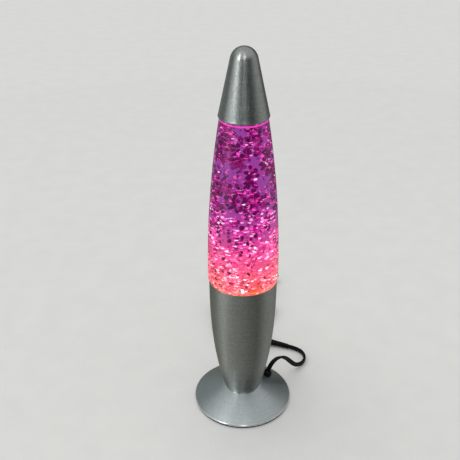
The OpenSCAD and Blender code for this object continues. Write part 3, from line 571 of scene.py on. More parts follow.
# Strap of hook and loop tape: matt and fibrous
STRAP = Finish("black hook and loop strap", "#101012", "#2a2a2d", (0.8, 0.97), 0.5, 0.1)
# Moulded black plastic of the switch and the plug: fine spark-eroded texture
MOULDED_PLASTIC = Finish("moulded black ABS", "#080809", "#131315", (0.36, 0.52), 0.7, 0.012)
# Blown glass: clear, with a weak shine and faint waves
CLEAR_GLASS = BottleGlass("clear bottle glass", 1.4, 0.015, 40.0, 0.06)
# Dyed water: violet, with the bulb's light painted in as a glow that is warmer low down over the bulb
LIQUID_SKIN = LiquidSkin("violet liquid at the glass, painted glow")
DEEP_LIQUID = LiquidDepth("violet liquid in depth, painted glow")
# Metallised film: a hard glitter, painted light in hot pink and white and painted shade in dark plum
GLITTER_FILM = FlakeFilm("metallised glitter film with painted light", "flake_painted_light")
# Floor: pale and matt
PALE_FLOOR = Finish("matt pale floor", "#dbdad7", "#e0dfdc", (0.85, 0.95), 2.0, 0.01)
# Grey card: what the foot shows comes from its near part, the streaks along cap and holder from its far part
NEAR_CARD = RoomCard("grey card near the foot", 1.32, (
    (-180, "#5a5a54"), (-104, "#7b7c74"), (-68, "#b3b4ac"), (-54, "#898a82"), (0, "#7c7d76"),
    (50, "#5b5c56"), (85, "#8c8d86"), (105, "#8c8d86"), (180, "#5a5a54")))
FAR_CARD = RoomCard("grey card far from the foot", 1.4, (
    (-180, "#525655"), (-145, "#7a7e7d"), (-101, "#646867"), (-72, "#c6cccb"), (-57, "#c6cccb"),
    (-42, "#747c7a"), (7, "#4f5856"), (22, "#2a3331"), (44, "#2a3331"), (78, "#949694"),
    (105, "#9f9f9e"), (128, "#6a6c6b"), (150, "#464948"), (180, "#525655")))

NODE_FINISHES: dict[Finish, tuple[str, ...]] = {
    FOAM_RUBBER: ("base_pad",), FIBRE_BOARD: ("bottom_cover",),
    STEATITE: ("lampholder_base", "lampholder_barrel"),
    DRAWN_BRASS: ("threaded_pipe", "screw_shell", "centre_contact", "terminal_screws", "bulb_screw_cap",
                  "switch_contacts", "switch_bridge", "plug_pins"),
    ZINC_STEEL: ("pipe_nuts", "pipe_washers", "switch_screws"), BROWN_INSULATION: ("wire_live",),
    BLUE_INSULATION: ("wire_neutral",), SOLDER: ("bulb_contact",), BLACK_GLASS: ("bulb_insulator",),
    FROSTED_BULB: ("bulb_glass",), STEM_GLASS: ("bulb_stem",), TUNGSTEN: ("bulb_filament",),
    TIN_PLATE: ("bottle_closure",), SEAL_RUBBER: ("closure_seal",), MOULDED_PLASTIC: ("pin_sleeves",)}


def add_object(name: str, data: ID) -> Object:
    """Makes an object of a mesh, a light or a camera and puts it in the scene.

    Args:
        name: The object's name.
        data: Its mesh, light or camera.

    Returns:
        The new object.
    """
    made = bpy.data.objects.new(name, data)
    bpy.context.scene.collection.objects.link(made)
    return made


def select_only(*pieces: Object) -> None:
    """Selects these pieces alone and makes the first one active.

    Args:
        pieces: The pieces, or none to leave nothing selected.
    """
    bpy.ops.object.select_all(action="DESELECT")
    bpy.context.view_layer.objects.active = pieces[0] if pieces else None
    for piece in pieces:
        piece.select_set(True)


def joined(pieces: Sequence[Object]) -> Object:
    """Joins pieces to the first of them.

    Args:
        pieces: The pieces, which become one.

    Returns:
        The first piece, which then holds them all.
    """
    select_only(*pieces)
    bpy.ops.object.join()
    return pieces[0]


@contextmanager
def editing(piece: Object) -> Iterator[None]:
    """Opens a piece in edit mode with all of it selected, and closes it again.

    Args:
        piece: The piece.

    Yields:
        Nothing, while the piece is open.
    """
    select_only(piece)
    bpy.ops.object.mode_set(mode="EDIT")
    bpy.ops.mesh.select_all(action="SELECT")
    yield
    bpy.ops.object.mode_set(mode="OBJECT")


def softened(outline: Sequence[Point], radius: float, corners: Sequence[int], steps: int = 4) -> list[Point]:
    """Rounds chosen corners of an outline.

    Args:
        outline: Points of the outline.
        radius: Distance from a corner at which its curve starts and ends.
        corners: Numbers of the points to round.
        steps: Stretches in each curve.

    Returns:
        The outline with a short curve in place of each chosen point.
    """
    result: list[Point] = []
    for number, point in enumerate(outline):
        if number not in corners:
            result.append(point)
            continue
        here = Vector(point)
        before = (Vector(outline[number - 1]) - here).normalized() * radius + here
        after = (Vector(outline[(number + 1) % len(outline)]) - here).normalized() * radius + here
        for share in spread(0, 1, steps):
            curve = before * (1 - share) ** 2 + here * 2 * share * (1 - share) + after * share ** 2
            result.append((curve.x, curve.y))
    return result


def turned(name: str, outline: Sequence[Point], steps: int = TURN_STEPS) -> Object:
    """Turns an outline about the Z axis, as on a lathe.

    Args:
        name: The piece's name.
        outline: Radius and height of each point in millimetres, in order along the surface.
        steps: Stretches round the axis.

    Returns:
        The turned piece, with its place in its mesh.
    """
    select_only()
    bpy.ops.mesh.primitive_plane_add(size=MM)
    piece = bpy.context.object
    piece.name = name
    with editing(piece):
        bpy.ops.mesh.select_mode(type="VERT")
        bpy.ops.mesh.merge(type="CENTER")
        bpy.ops.transform.translate(value=(outline[0][0] * MM, 0, outline[0][1] * MM))
        for start, end in pairwise(outline):
            step = ((end[0] - start[0]) * MM, 0, (end[1] - start[1]) * MM)
            bpy.ops.mesh.extrude_region_move(TRANSFORM_OT_translate={"value": step})
        bpy.ops.mesh.select_all(action="SELECT")
        bpy.ops.mesh.spin(steps=steps, angle=math.tau, center=(0, 0, 0), axis=(0, 0, 1))
        bpy.ops.mesh.select_all(action="SELECT")
        bpy.ops.mesh.remove_doubles(threshold=MERGE_GAP * MM)
        bpy.ops.mesh.normals_make_consistent(inside=False)
    bpy.ops.object.shade_smooth_by_angle(angle=TURNED_EDGE)
    return piece


def settle(piece: Object, place: Matrix) -> None:
    """Moves a piece to its place and puts the place in its mesh.

    Args:
        piece: The piece.
        place: Its place and turn, in metres.
    """
    piece.matrix_world = place
    select_only(piece)
    bpy.ops.object.transform_apply(location=True, rotation=True, scale=True)


def round_edges(piece: Object, width: float, angle: float = 40.0) -> None:
    """Rounds a piece's sharp edges, as a mould leaves them.

    Args:
        piece: The piece.
        width: Width of the rounding in millimetres.
        angle: Least angle of an edge that is rounded, in degrees.
    """
    rounding = piece.modifiers.new("rounded edges", "BEVEL")
    rounding.width = width * MM
    rounding.segments = 3
    rounding.limit_method = "ANGLE"
    rounding.angle_limit = math.radians(angle)
    select_only(piece)
    bpy.ops.object.modifier_apply(modifier=rounding.name)
    with editing(piece):
        bpy.ops.mesh.dissolve_degenerate(threshold=SLIVER * MM)
    bpy.ops.object.shade_smooth_by_angle(angle=MOULDED_EDGE)


def sweep(name: str, route: Sequence[Vector], section: Callable[[float], Sequence[Point]]) -> Object:
    """Sweeps an outline along a route.

    Args:
        name: The piece's name.
        route: Points in millimetres with their twist in degrees.
        section: Gives the outline at a share of the route.

    Returns:
        The closed tube.
    """
    corners: list[Vector] = []
    last = len(route) - 1
    for i, point in enumerate(route):
        ahead = (route[min(i + 1, last)].to_3d() - route[max(i - 1, 0)].to_3d()).normalized()
        level = Vector((ahead.y, -ahead.x, 0)).normalized()
        up = level.cross(ahead)
        twist = math.radians(point.w)
        wide = level * math.cos(twist) + up * math.sin(twist)
        thin = up * math.cos(twist) - level * math.sin(twist)
        corners += [(point.to_3d() + wide * w + thin * t) * MM for w, t in section(i / last)]
    count = len(section(0.0))
    faces: list[tuple[int, ...]] = [
        (i * count + j, i * count + (j + 1) % count, (i + 1) * count + (j + 1) % count, (i + 1) * count + j)
        for i in range(last) for j in range(count)]
    faces += [tuple(reversed(range(count))), tuple(range(last * count, (last + 1) * count))]
    mesh = bpy.data.meshes.new(name)
    mesh.from_pydata(corners, [], faces)
    tube = add_object(name, mesh)
    with editing(tube):
        bpy.ops.mesh.normals_make_consistent(inside=False)
    bpy.ops.object.shade_smooth_by_angle(angle=FLEX_EDGE)
    return tube


def smoothed(route: Sequence[Twisted], rounds: int) -> list[Vector]:
    """Adds points midway along a smooth curve, by the four-point rule, once in each round.

    Args:
        route: Points in millimetres with their twist in degrees.
        rounds: How often points are added.

    Returns:
        The finer route.
    """
    points = [Vector(p) for p in route]
    for _ in range(rounds):
        finer: list[Vector] = []
        last = len(points) - 1
        for i in range(last):
            middle = (points[i] + points[i + 1]) / 2
            if 0 < i < last - 1:
                middle = (9 * (points[i] + points[i + 1]) - points[i - 1] - points[i + 2]) / 16
            finer += [points[i], middle]
        points = finer + [points[-1]]
    return points


def paint_faces(piece: Object, slot: int, chosen: Callable[[Vector], bool]) -> None:
    """Gives a material slot to the faces whose middle is chosen.

    Args:
        piece: The piece.
        slot: The slot's number.
        chosen: Says of a face's middle, in metres, whether the face is chosen.
    """
    for face in piece.data.polygons:
        if chosen(face.center):
            face.material_index = slot


def radius_mm(point: Vector) -> float:
    """Distance of a point from the lamp's axis in millimetres."""
    return math.hypot(point.x, point.y) / MM


def place_piece(piece: Object, body: Body, slot: Slot, *nodes: str) -> Object:
    """Makes a piece ride on a body in place of nodes.

    Args:
        piece: The finished piece.
        body: The body it moves with.
        slot: The record's material slot, not used here.
        nodes: The nodes that it stands for.

    Returns:
        The same piece.
    """
    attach(piece, body.value)
    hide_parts(*nodes)
    LOG.info("%s: %d faces", piece.name, len(piece.data.polygons))
    return piece


@dataclass
class Foot:
    """The cone foot on its pad, with the gland that the cord leaves by."""

    rim_r: float = 45.5
    rim_low: float = 1.6
    rim_high: float = 3.0
    top_r: float = 17.3
    top_z: float = 16.6
    wall: float = 1.6
    ring_w: float = 4.3
    pipe_r: float = 5.05
    edge_soft: float = 0.45
    polish_w: float = 0.5
    gland_r: float = 28.8
    gland_turn: float = 34.0
    gland_h: float = 4.5
    collar_r: float = 4.4
    collar_gap: float = 0.05
    collar_taper: Point = (0.9, 1.6)
    collar_soft: float = 0.5
    waist_r: float = 3.4
    flange_r: float = 4.1
    flange_under: Point = (0.25, 1.6)

    @property
    def slope(self) -> float:
        """Angle of the cone from the table, in radians."""
        return math.atan2(self.top_z - self.rim_high, self.rim_r - self.top_r)

    @property
    def gland_place(self) -> Vector:
        """Middle of the gland on the cone, in millimetres."""
        turn = math.radians(self.gland_turn)
        height = self.rim_high + (self.rim_r - self.gland_r) * math.tan(self.slope)
        return Vector((self.gland_r * math.cos(turn), self.gland_r * math.sin(turn), height))

    @property
    def gland_way(self) -> Vector:
        """Direction in which the gland stands off the cone."""
        turn = math.radians(self.gland_turn)
        lean = math.sin(self.slope)
        return Vector((lean * math.cos(turn), lean * math.sin(turn), math.cos(self.slope)))

    @property
    def gland_end(self) -> Vector:
        """Place where the cord leaves the gland, in millimetres."""
        return self.gland_place + self.gland_way * self.gland_h

    def build_cone(self) -> Object:
        """Builds the spun cone with its polished rim and top edge.

        Returns:
            The finished cone.
        """
        depth = self.wall / math.cos(self.slope)
        inner_r = self.rim_r - self.ring_w
        corner = [
            (inner_r, self.rim_low), (self.rim_r, self.rim_low), (self.rim_r, self.rim_high),
            (self.top_r, self.top_z), (self.pipe_r, self.top_z), (self.pipe_r, self.top_z - self.wall),
            (self.top_r - self.wall, self.top_z - self.wall),
            (inner_r, self.rim_high + self.ring_w * math.tan(self.slope) - depth)]
        outline = softened(corner, self.edge_soft, [1, 2, 3])
        cone = turned("foot_cone", outline + outline[:1])
        dress(cone, FOOT_ALUMINIUM, POLISHED_ALUMINIUM)
        rim = self.rim_r - self.polish_w
        edge = self.top_r + self.polish_w
        paint_faces(cone, 1, lambda middle: not edge < radius_mm(middle) < rim)
        return place_piece(cone, Body.BASE, Slot.FOOT, "foot")

    def build_gland(self) -> Object:
        """Builds the rubber collar round the cord and stands it on the cone.

        Returns:
            The finished collar.
        """
        under, low = (-self.wall - reach for reach in self.flange_under)
        taper_w, taper_h = self.collar_taper
        corner = [
            (0, low), (self.flange_r, low), (self.flange_r, under), (self.waist_r, under),
            (self.waist_r, self.collar_gap), (self.collar_r, self.collar_gap),
            (self.collar_r, self.gland_h - taper_h), (self.collar_r - taper_w, self.gland_h),
            (0, self.gland_h)]
        gland = turned("gland_collar", softened(corner, self.collar_soft, [5, 6, 7]), SMALL_STEPS)
        turn = Matrix.Rotation(math.radians(self.gland_turn), 4, "Z") @ Matrix.Rotation(self.slope, 4, "Y")
        settle(gland, Matrix.Translation(self.gland_place * MM) @ turn)
        dress(gland, MOULDED_RUBBER)
        return place_piece(gland, Body.BASE, Slot.RUBBER, "cord_gland")


@dataclass
class Holder:
    """The bullet-shaped cup that holds the bulb and the bottle's lower end."""

    base_z: float = 16.6
    rim_z: float = 136.0
    base_r: float = 17.0
    rim_r: float = 29.8
    wall: float = 1.2
    swell: float = 2.5
    pipe_r: float = 5.05
    edge_soft: float = 0.5
    steps: int = 44

    def radius(self, height: float) -> float:
        """Outer radius of the cup at a height."""
        share = (self.rim_z - height) / (self.rim_z - self.base_z)
        return self.rim_r - (self.rim_r - self.base_r) * share ** self.swell

    def build(self) -> Object:
        """Builds the spun cup with a rounded rim and a rounded lower edge.

        Returns:
            The finished cup.
        """
        floor = self.base_z + self.wall
        heights = spread(self.base_z, self.rim_z, self.steps)
        outer = [(self.radius(z), z) for z in heights]
        inner = [(self.radius(max(z, floor)) - self.wall, max(z, floor)) for z in reversed(heights[1:])]
        corner = outer + inner + [(self.pipe_r, floor), (self.pipe_r, self.base_z)]
        outline = softened(corner, self.edge_soft, [0, self.steps, self.steps + 1])
        cup = turned("holder_cup", outline + outline[:1])
        dress(cup, GREY_ALUMINIUM)
        return place_piece(cup, Body.BASE, Slot.METAL, "holder")


@dataclass
class Bottle:
    """The tapered glass bottle with its liquid."""

    low_z: float = 118.0
    low_r: float = 27.9
    seat_z: float = 136.0
    seat_bevel: float = 1.5
    seat_in: float = 0.45
    wide_z: float = 140.0
    wide_r: float = 30.7
    shoulder_z: float = 286.0
    shoulder_r: float = 19.2
    shoulder_h: float = 10.0
    neck_r: float = 10.0
    mouth_z: float = 309.0
    lip_h: float = 3.0
    lip_soft: float = 0.7
    taper: float = 2.1
    wall: float = 2.2
    bottom: float = 4.0
    corner: float = 4.0
    floor_soft: float = 2.0
    floor_margin: float = 0.5
    side_steps: int = 48
    shoulder_steps: int = 15
    corner_steps: int = 9
    liquid_top: float = 295.0
    skin_gap: float = 0.06
    depth_share: float = 0.735
    depth_low: float = 2.0
    depth_top: float = 3.0
    depth_steps: int = 40

    def radius(self, height: float) -> float:
        """Outer radius of the glass above its seat.

        Args:
            height: The height in millimetres.

        Returns:
            The radius in millimetres.
        """
        if height < self.shoulder_z:
            share = max(0.0, height - self.wide_z) / (self.shoulder_z - self.wide_z)
            return self.wide_r - (self.wide_r - self.shoulder_r) * share ** self.taper
        share = min(1.0, (height - self.shoulder_z) / self.shoulder_h)
        return self.neck_r + (self.shoulder_r - self.neck_r) * math.sqrt(1 - share * share)

    def room(self, height: float) -> float:
        """Inner radius of the glass at a height."""
        seated = height < self.seat_z + self.seat_bevel
        return (self.low_r if seated else self.radius(height)) - self.wall

    def depth_r(self, height: float) -> float:
        """Radius at which the dye hides all, wide enough to fill the bottle as its lens shows it."""
        return self.depth_share * (self.room(height) + self.wall)

    def upper_side(self, inset: float) -> list[Point]:
        """Points from the widest place to the neck, that far inside the outer surface.

        Args:
            inset: Distance inside the outer surface, in millimetres.

        Returns:
            Radius and height of each point, in millimetres.
        """
        heights = spread(self.wide_z, self.shoulder_z, self.side_steps)
        curve = spread(0, QUARTER, self.shoulder_steps)[1:]
        heights += [self.shoulder_z + self.shoulder_h * math.sin(a) for a in curve]
        return [(self.radius(z) - inset, z) for z in heights]

    def inner_side(self, inset: float) -> list[Point]:
        """Points of the inner wall from the neck down to the axis, that far inside it.

        Args:
            inset: Distance inside the inner wall, in millimetres.

        Returns:
            Radius and height of each point, in millimetres.
        """
        side = list(reversed(self.upper_side(self.wall + inset)))
        low_r = self.low_r - self.wall - inset
        floor = self.low_z + self.bottom + inset
        return side + [(low_r, self.seat_z + self.seat_bevel), (low_r, floor + self.floor_soft),
                       (low_r - self.floor_soft, floor), (0, floor)]

    def build_glass(self) -> Object:
        """Builds the bottle, with its outside clear glass and its inside wetted.

        Returns:
            The finished bottle.
        """
        middle_r = self.low_r - self.corner
        middle_z = self.low_z + self.corner
        corner = [(middle_r + self.corner * math.sin(a), middle_z - self.corner * math.cos(a))
                  for a in spread(0, QUARTER, self.corner_steps)]
        seat = [(self.low_r, self.seat_z), (self.wide_r - self.seat_in, self.seat_z),
                (self.wide_r, self.seat_z + self.seat_bevel)]
        lip_z = self.mouth_z - self.lip_h
        lip_r = self.neck_r - self.wall
        lip = [(self.neck_r, lip_z), (self.neck_r, self.mouth_z), (lip_r, self.mouth_z), (lip_r, lip_z)]
        mouth = softened(lip, self.lip_soft, [1, 2])
        outline = [(0.0, self.low_z)] + corner + seat + self.upper_side(0) + mouth + self.inner_side(0)
        glass = turned("bottle_glass", outline)
        dress(glass, CLEAR_GLASS, WETTED_WALL)
        floor = (self.low_z + self.bottom - self.floor_margin) * MM
        paint_faces(glass, 1, lambda middle: middle.z > floor
                    and radius_mm(middle) < self.room(middle.z / MM) + self.wall / 2)
        return place_piece(glass, Body.BOTTLE, Slot.GLASS, "bottle")

    def build_liquid(self) -> Object:
        """Builds the liquid: its skin a hair inside the glass, and the depth at which the dye hides all.

        Returns:
            The finished liquid, as one piece.
        """
        wall = [point for point in self.inner_side(self.skin_gap) if point[1] < self.liquid_top]
        top_r = self.room(self.liquid_top) - self.skin_gap
        skin = turned("violet_liquid", [(0.0, self.liquid_top), (top_r, self.liquid_top)] + wall)
        low = self.low_z + self.bottom + self.depth_low
        high = self.liquid_top - self.depth_top
        side = [(self.depth_r(z), z) for z in spread(high, low, self.depth_steps)]
        depth = turned("liquid_depth", [(0.0, high)] + side + [(0.0, low)], PLAIN_STEPS)
        for piece in (skin, depth):
            dress(piece, LIQUID_SKIN, DEEP_LIQUID)
        paint_faces(depth, 1, lambda middle: True)
        return place_piece(joined([skin, depth]), Body.BOTTLE, Slot.LIQUID, "liquid")


class Glint(NamedTuple):
    """What a flake may show: a colour of painted light or shade, its share of all at the top and low down,
    its lean from flat and its size.
    """

    colour: str
    top: float
    low: float
    lean: float
    size: float


@dataclass
class Glitter:
    """The flakes in the liquid: a drifting swarm, and the flakes of the solid at their places.

    The swarm drifts between the depth and the glass, clear of both by a share of its flakes' width. It
    thins out upward, crowds by a slow noise, and crowds more in its lowest share. Below lift_share of the
    height its flakes painted dark, as in shade, give way to ones painted bright, as lit, and below
    warm_share the bulb's light is painted in by warmer colours.
    Vary is the least and the added part of a flake's size and light. The solid's flakes go by steps.
    """

    bottle: Bottle
    width: float = 3.0
    thick: float = 0.12
    count: int = 5000
    seed: int = 7
    below_seat: float = 4.0
    past_shoulder: float = 1.0
    thinning: float = 1.5
    clear_depth: float = 0.25
    clear_glass: float = 0.75
    crowd: float = 0.6
    crowd_swing: float = 1.4
    crowd_mm: float = 15.0
    low_crowd: float = 0.6
    low_share: float = 0.45
    lift_share: float = 0.58
    lift_power: int = 3
    warm_share: float = 0.4
    warm_green: float = 0.1
    warm_blue: float = 0.6
    vary: Point = (0.75, 0.4)
    lean_spread: float = 16.0
    swing_spread: float = 0.9
    solid_count: int = 90
    solid_width: float = 2.4
    solid_margin: float = 3.0
    golden_angle: float = 137.508
    reach_step: float = 0.754878
    pitch_step: int = 67
    roll_step: int = 43
    # Painted light and shade of the flakes: dark plum for flakes in shade, hot pink and white for flakes that
    # catch the light
    glints: tuple[Glint, ...] = (
        Glint("#520340", 0.36, 0.012, 56, 1.35), Glint("#7c0c5e", 0.24, 0.03, 52, 1.25),
        Glint("#a81c80", 0.16, 0.14, 40, 1.0), Glint("#f850bc", 0.15, 0.40, 8, 1.0),
        Glint("#fd9cd8", 0.05, 0.22, 4, 1.0), Glint("#fff0f8", 0.02, 0.13, 2, 1.0))

    def model_flake(self) -> Object:
        """Models one six-sided flake with a slight crease, lying at the origin.

        Returns:
            The flake, as a pattern to copy.
        """
        select_only()
        bpy.ops.mesh.primitive_cylinder_add(vertices=6, radius=self.width / 2 * MM, depth=self.thick * MM)
        flake = bpy.context.object
        with editing(flake):
            bpy.ops.mesh.bisect(plane_co=(0, 0, 0), plane_no=(1, 0, 0))
            bpy.ops.transform.translate(value=(0, 0, self.thick * MM))
        return flake

    def varied(self, dice: random.Random) -> float:
        """Draws how large or how bright a flake is."""
        return self.vary[0] + self.vary[1] * dice.random()

    def choose_glint(self, dice: random.Random, share: float) -> Glint:
        """Draws what a flake shows at a height, from 0 at the seat to 1 at the shoulder."""
        lift = min(1.0, share / self.lift_share) ** self.lift_power
        return dice.choices(self.glints, [g.low + (g.top - g.low) * lift for g in self.glints])[0]

    def light_up(self, glint: Glint, dice: random.Random, share: float) -> list[float]:
        """Gives a flake's painted light in linear light, painted warmer low down over the bulb.

        Args:
            glint: What the flake shows.
            dice: The random draws.
            share: Its height, from 0 at the seat to 1 at the shoulder.

        Returns:
            Red, green, blue and a full alpha.
        """
        red, green, blue, _ = linear(glint.colour)
        strength = self.varied(dice)
        warm = max(0.0, 1.0 - share / self.warm_share) * (1.0 - green)
        mixed = (red, green + self.warm_green * warm * red, blue * (1.0 - self.warm_blue * warm))
        return [min(1.0, part * strength) for part in mixed] + [1.0]

    def drift_place(self, dice: random.Random) -> Vector:
        """Draws a place between the depth and the glass, where the swarms of flakes are thick.

        Args:
            dice: The random draws.

        Returns:
            The place in millimetres.
        """
        low = self.bottle.seat_z - self.below_seat
        high = self.bottle.shoulder_z + self.past_shoulder
        while True:
            height = low + (high - low) * dice.random() ** self.thinning
            inner = self.bottle.depth_r(height) + self.width * self.clear_depth
            outer = self.bottle.room(height) - self.width * self.clear_glass
            reach = inner + (outer - inner) * dice.random()
            around = dice.random() * math.tau
            place = Vector((reach * math.cos(around), reach * math.sin(around), height))
            low_part = max(0.0, 1.0 - (height - low) / (high - low) / self.low_share)
            swing = self.crowd_swing * noise.noise(place / self.crowd_mm)
            if dice.random() < self.crowd + swing + self.low_crowd * low_part:
                return place

    def drift_turn(self, dice: random.Random, place: Vector, glint: Glint) -> Matrix:
        """Tumbles and scales a flake: it leans as its glint says and faces about outward.

        Args:
            dice: The random draws.
            place: The flake's place in millimetres.
            glint: What it shows.

        Returns:
            Its turn and scale.
        """
        tilt = Matrix.Rotation(math.radians(glint.lean + dice.gauss(0, self.lean_spread)), 4, "X")
        facing = math.atan2(place.y, place.x) + QUARTER
        swing = Matrix.Rotation(facing + dice.gauss(0, self.swing_spread), 4, "Z")
        spin = Matrix.Rotation(dice.random() * math.pi, 4, "Z")
        return swing @ tilt @ spin @ Matrix.Scale(glint.size * self.varied(dice), 4)

    def solid_place(self, index: int) -> Vector:
        """Gives the place of one of the solid's flakes, which the golden angle spreads through the liquid.

        Args:
            index: The flake's number, from the lowest one.

        Returns:
            The place in millimetres.
        """
        low = self.bottle.seat_z + self.solid_margin
        high = self.bottle.shoulder_z - self.solid_margin
        height = low + (high - low) * (index + 0.5) / self.solid_count
        reach = math.sqrt(index * self.reach_step % 1.0) * (self.bottle.room(height) - self.solid_width)
        around = math.radians(index * self.golden_angle)
        return Vector((reach * math.cos(around), reach * math.sin(around), height))

    def solid_turn(self, index: int) -> Matrix:
        """Gives the turn and the scale of one of the solid's flakes.

        Args:
            index: The flake's number, from the lowest one.

        Returns:
            Its turn and scale.
        """
        pitch = Matrix.Rotation(math.radians(index * self.pitch_step % 180), 4, "X")
        roll = Matrix.Rotation(math.radians(index * self.roll_step % 180), 4, "Y")
        return roll @ pitch @ Matrix.Scale(self.solid_width / self.width, 4)

    def build(self) -> Object:
        """Copies the flake through the liquid, the swarm first and then the solid's flakes.

        Returns:
            The finished glitter, as one piece.
        """
        dice = random.Random(self.seed)
        pattern = self.model_flake()
        copies: list[Object] = []
        for index in range(-self.count, self.solid_count):
            drifts = index < 0
            place = self.drift_place(dice) if drifts else self.solid_place(index)
            share = (place.z - self.bottle.seat_z) / (self.bottle.shoulder_z - self.bottle.seat_z)
            share = min(1.0, max(0.0, share))
            glint = self.choose_glint(dice, share)
            turn = self.drift_turn(dice, place, glint) if drifts else self.solid_turn(index)
            copy = add_object("flake", pattern.data.copy())
            copy.data.transform(Matrix.Translation(place * MM) @ turn)
            layer = copy.data.color_attributes.new(GLITTER_FILM.attribute, "FLOAT_COLOR", "POINT")
            layer.data.foreach_set("color", self.light_up(glint, dice, share) * len(copy.data.vertices))
            copies.append(copy)
        bpy.data.objects.remove(pattern)
        glitter = joined(copies)
        glitter.name = "glitter_flakes"
        dress(glitter, GLITTER_FILM)
        return place_piece(glitter, Body.BOTTLE, Slot.GLITTER, "glitter")


@dataclass
class Cap:
    """The pointed cap: a thin spun cone that runs into a round tip."""

    low_z: float = 285.0
    tip_z: float = 340.0
    tip_r: float = 11.0
    low_r: float = 20.66
    wall: float = 0.8
    curl_w: float = 0.6
    curl_h: float = 1.8
    curl_turn: float = 60.0
    curl_steps: int = 3
    cone_steps: int = 24
    tip_steps: int = 22

    def side(self, inset: float) -> list[Point]:
        """Points from the lower edge to the pole, that far inside the outer surface.

        Args:
            inset: Distance inside the outer surface, in millimetres.

        Returns:
            Radius and height of each point, in millimetres.
        """
        middle = self.tip_z - self.tip_r
        rise = middle - self.low_z
        lean = math.atan2(self.low_r, rise) - math.asin(self.tip_r / math.hypot(self.low_r, rise))
        radius = self.tip_r - inset
        angles = spread(lean, QUARTER, self.tip_steps)
        tip = [(radius * math.cos(a), middle + radius * math.sin(a)) for a in angles]
        foot = Vector((self.low_r - inset / math.cos(lean), self.low_z))
        cone = [foot.lerp(Vector(tip[0]), i / self.cone_steps) for i in range(self.cone_steps)]
        return [(p.x, p.y) for p in cone] + tip

    def build(self) -> Object:
        """Builds the spun cap with its lower edge curled in.

        Returns:
            The finished cap.
        """
        curl = [(self.low_r - self.curl_w * (1 - math.sin(a)), self.low_z + self.curl_h * (1 - math.cos(a)))
                for a in spread(0, math.radians(self.curl_turn), self.curl_steps)]
        cap = turned("pointed_cap", list(reversed(self.side(self.wall))) + curl + self.side(0)[1:])
        dress(cap, GREY_ALUMINIUM)
        return place_piece(cap, Body.CAP, Slot.METAL, "cap")


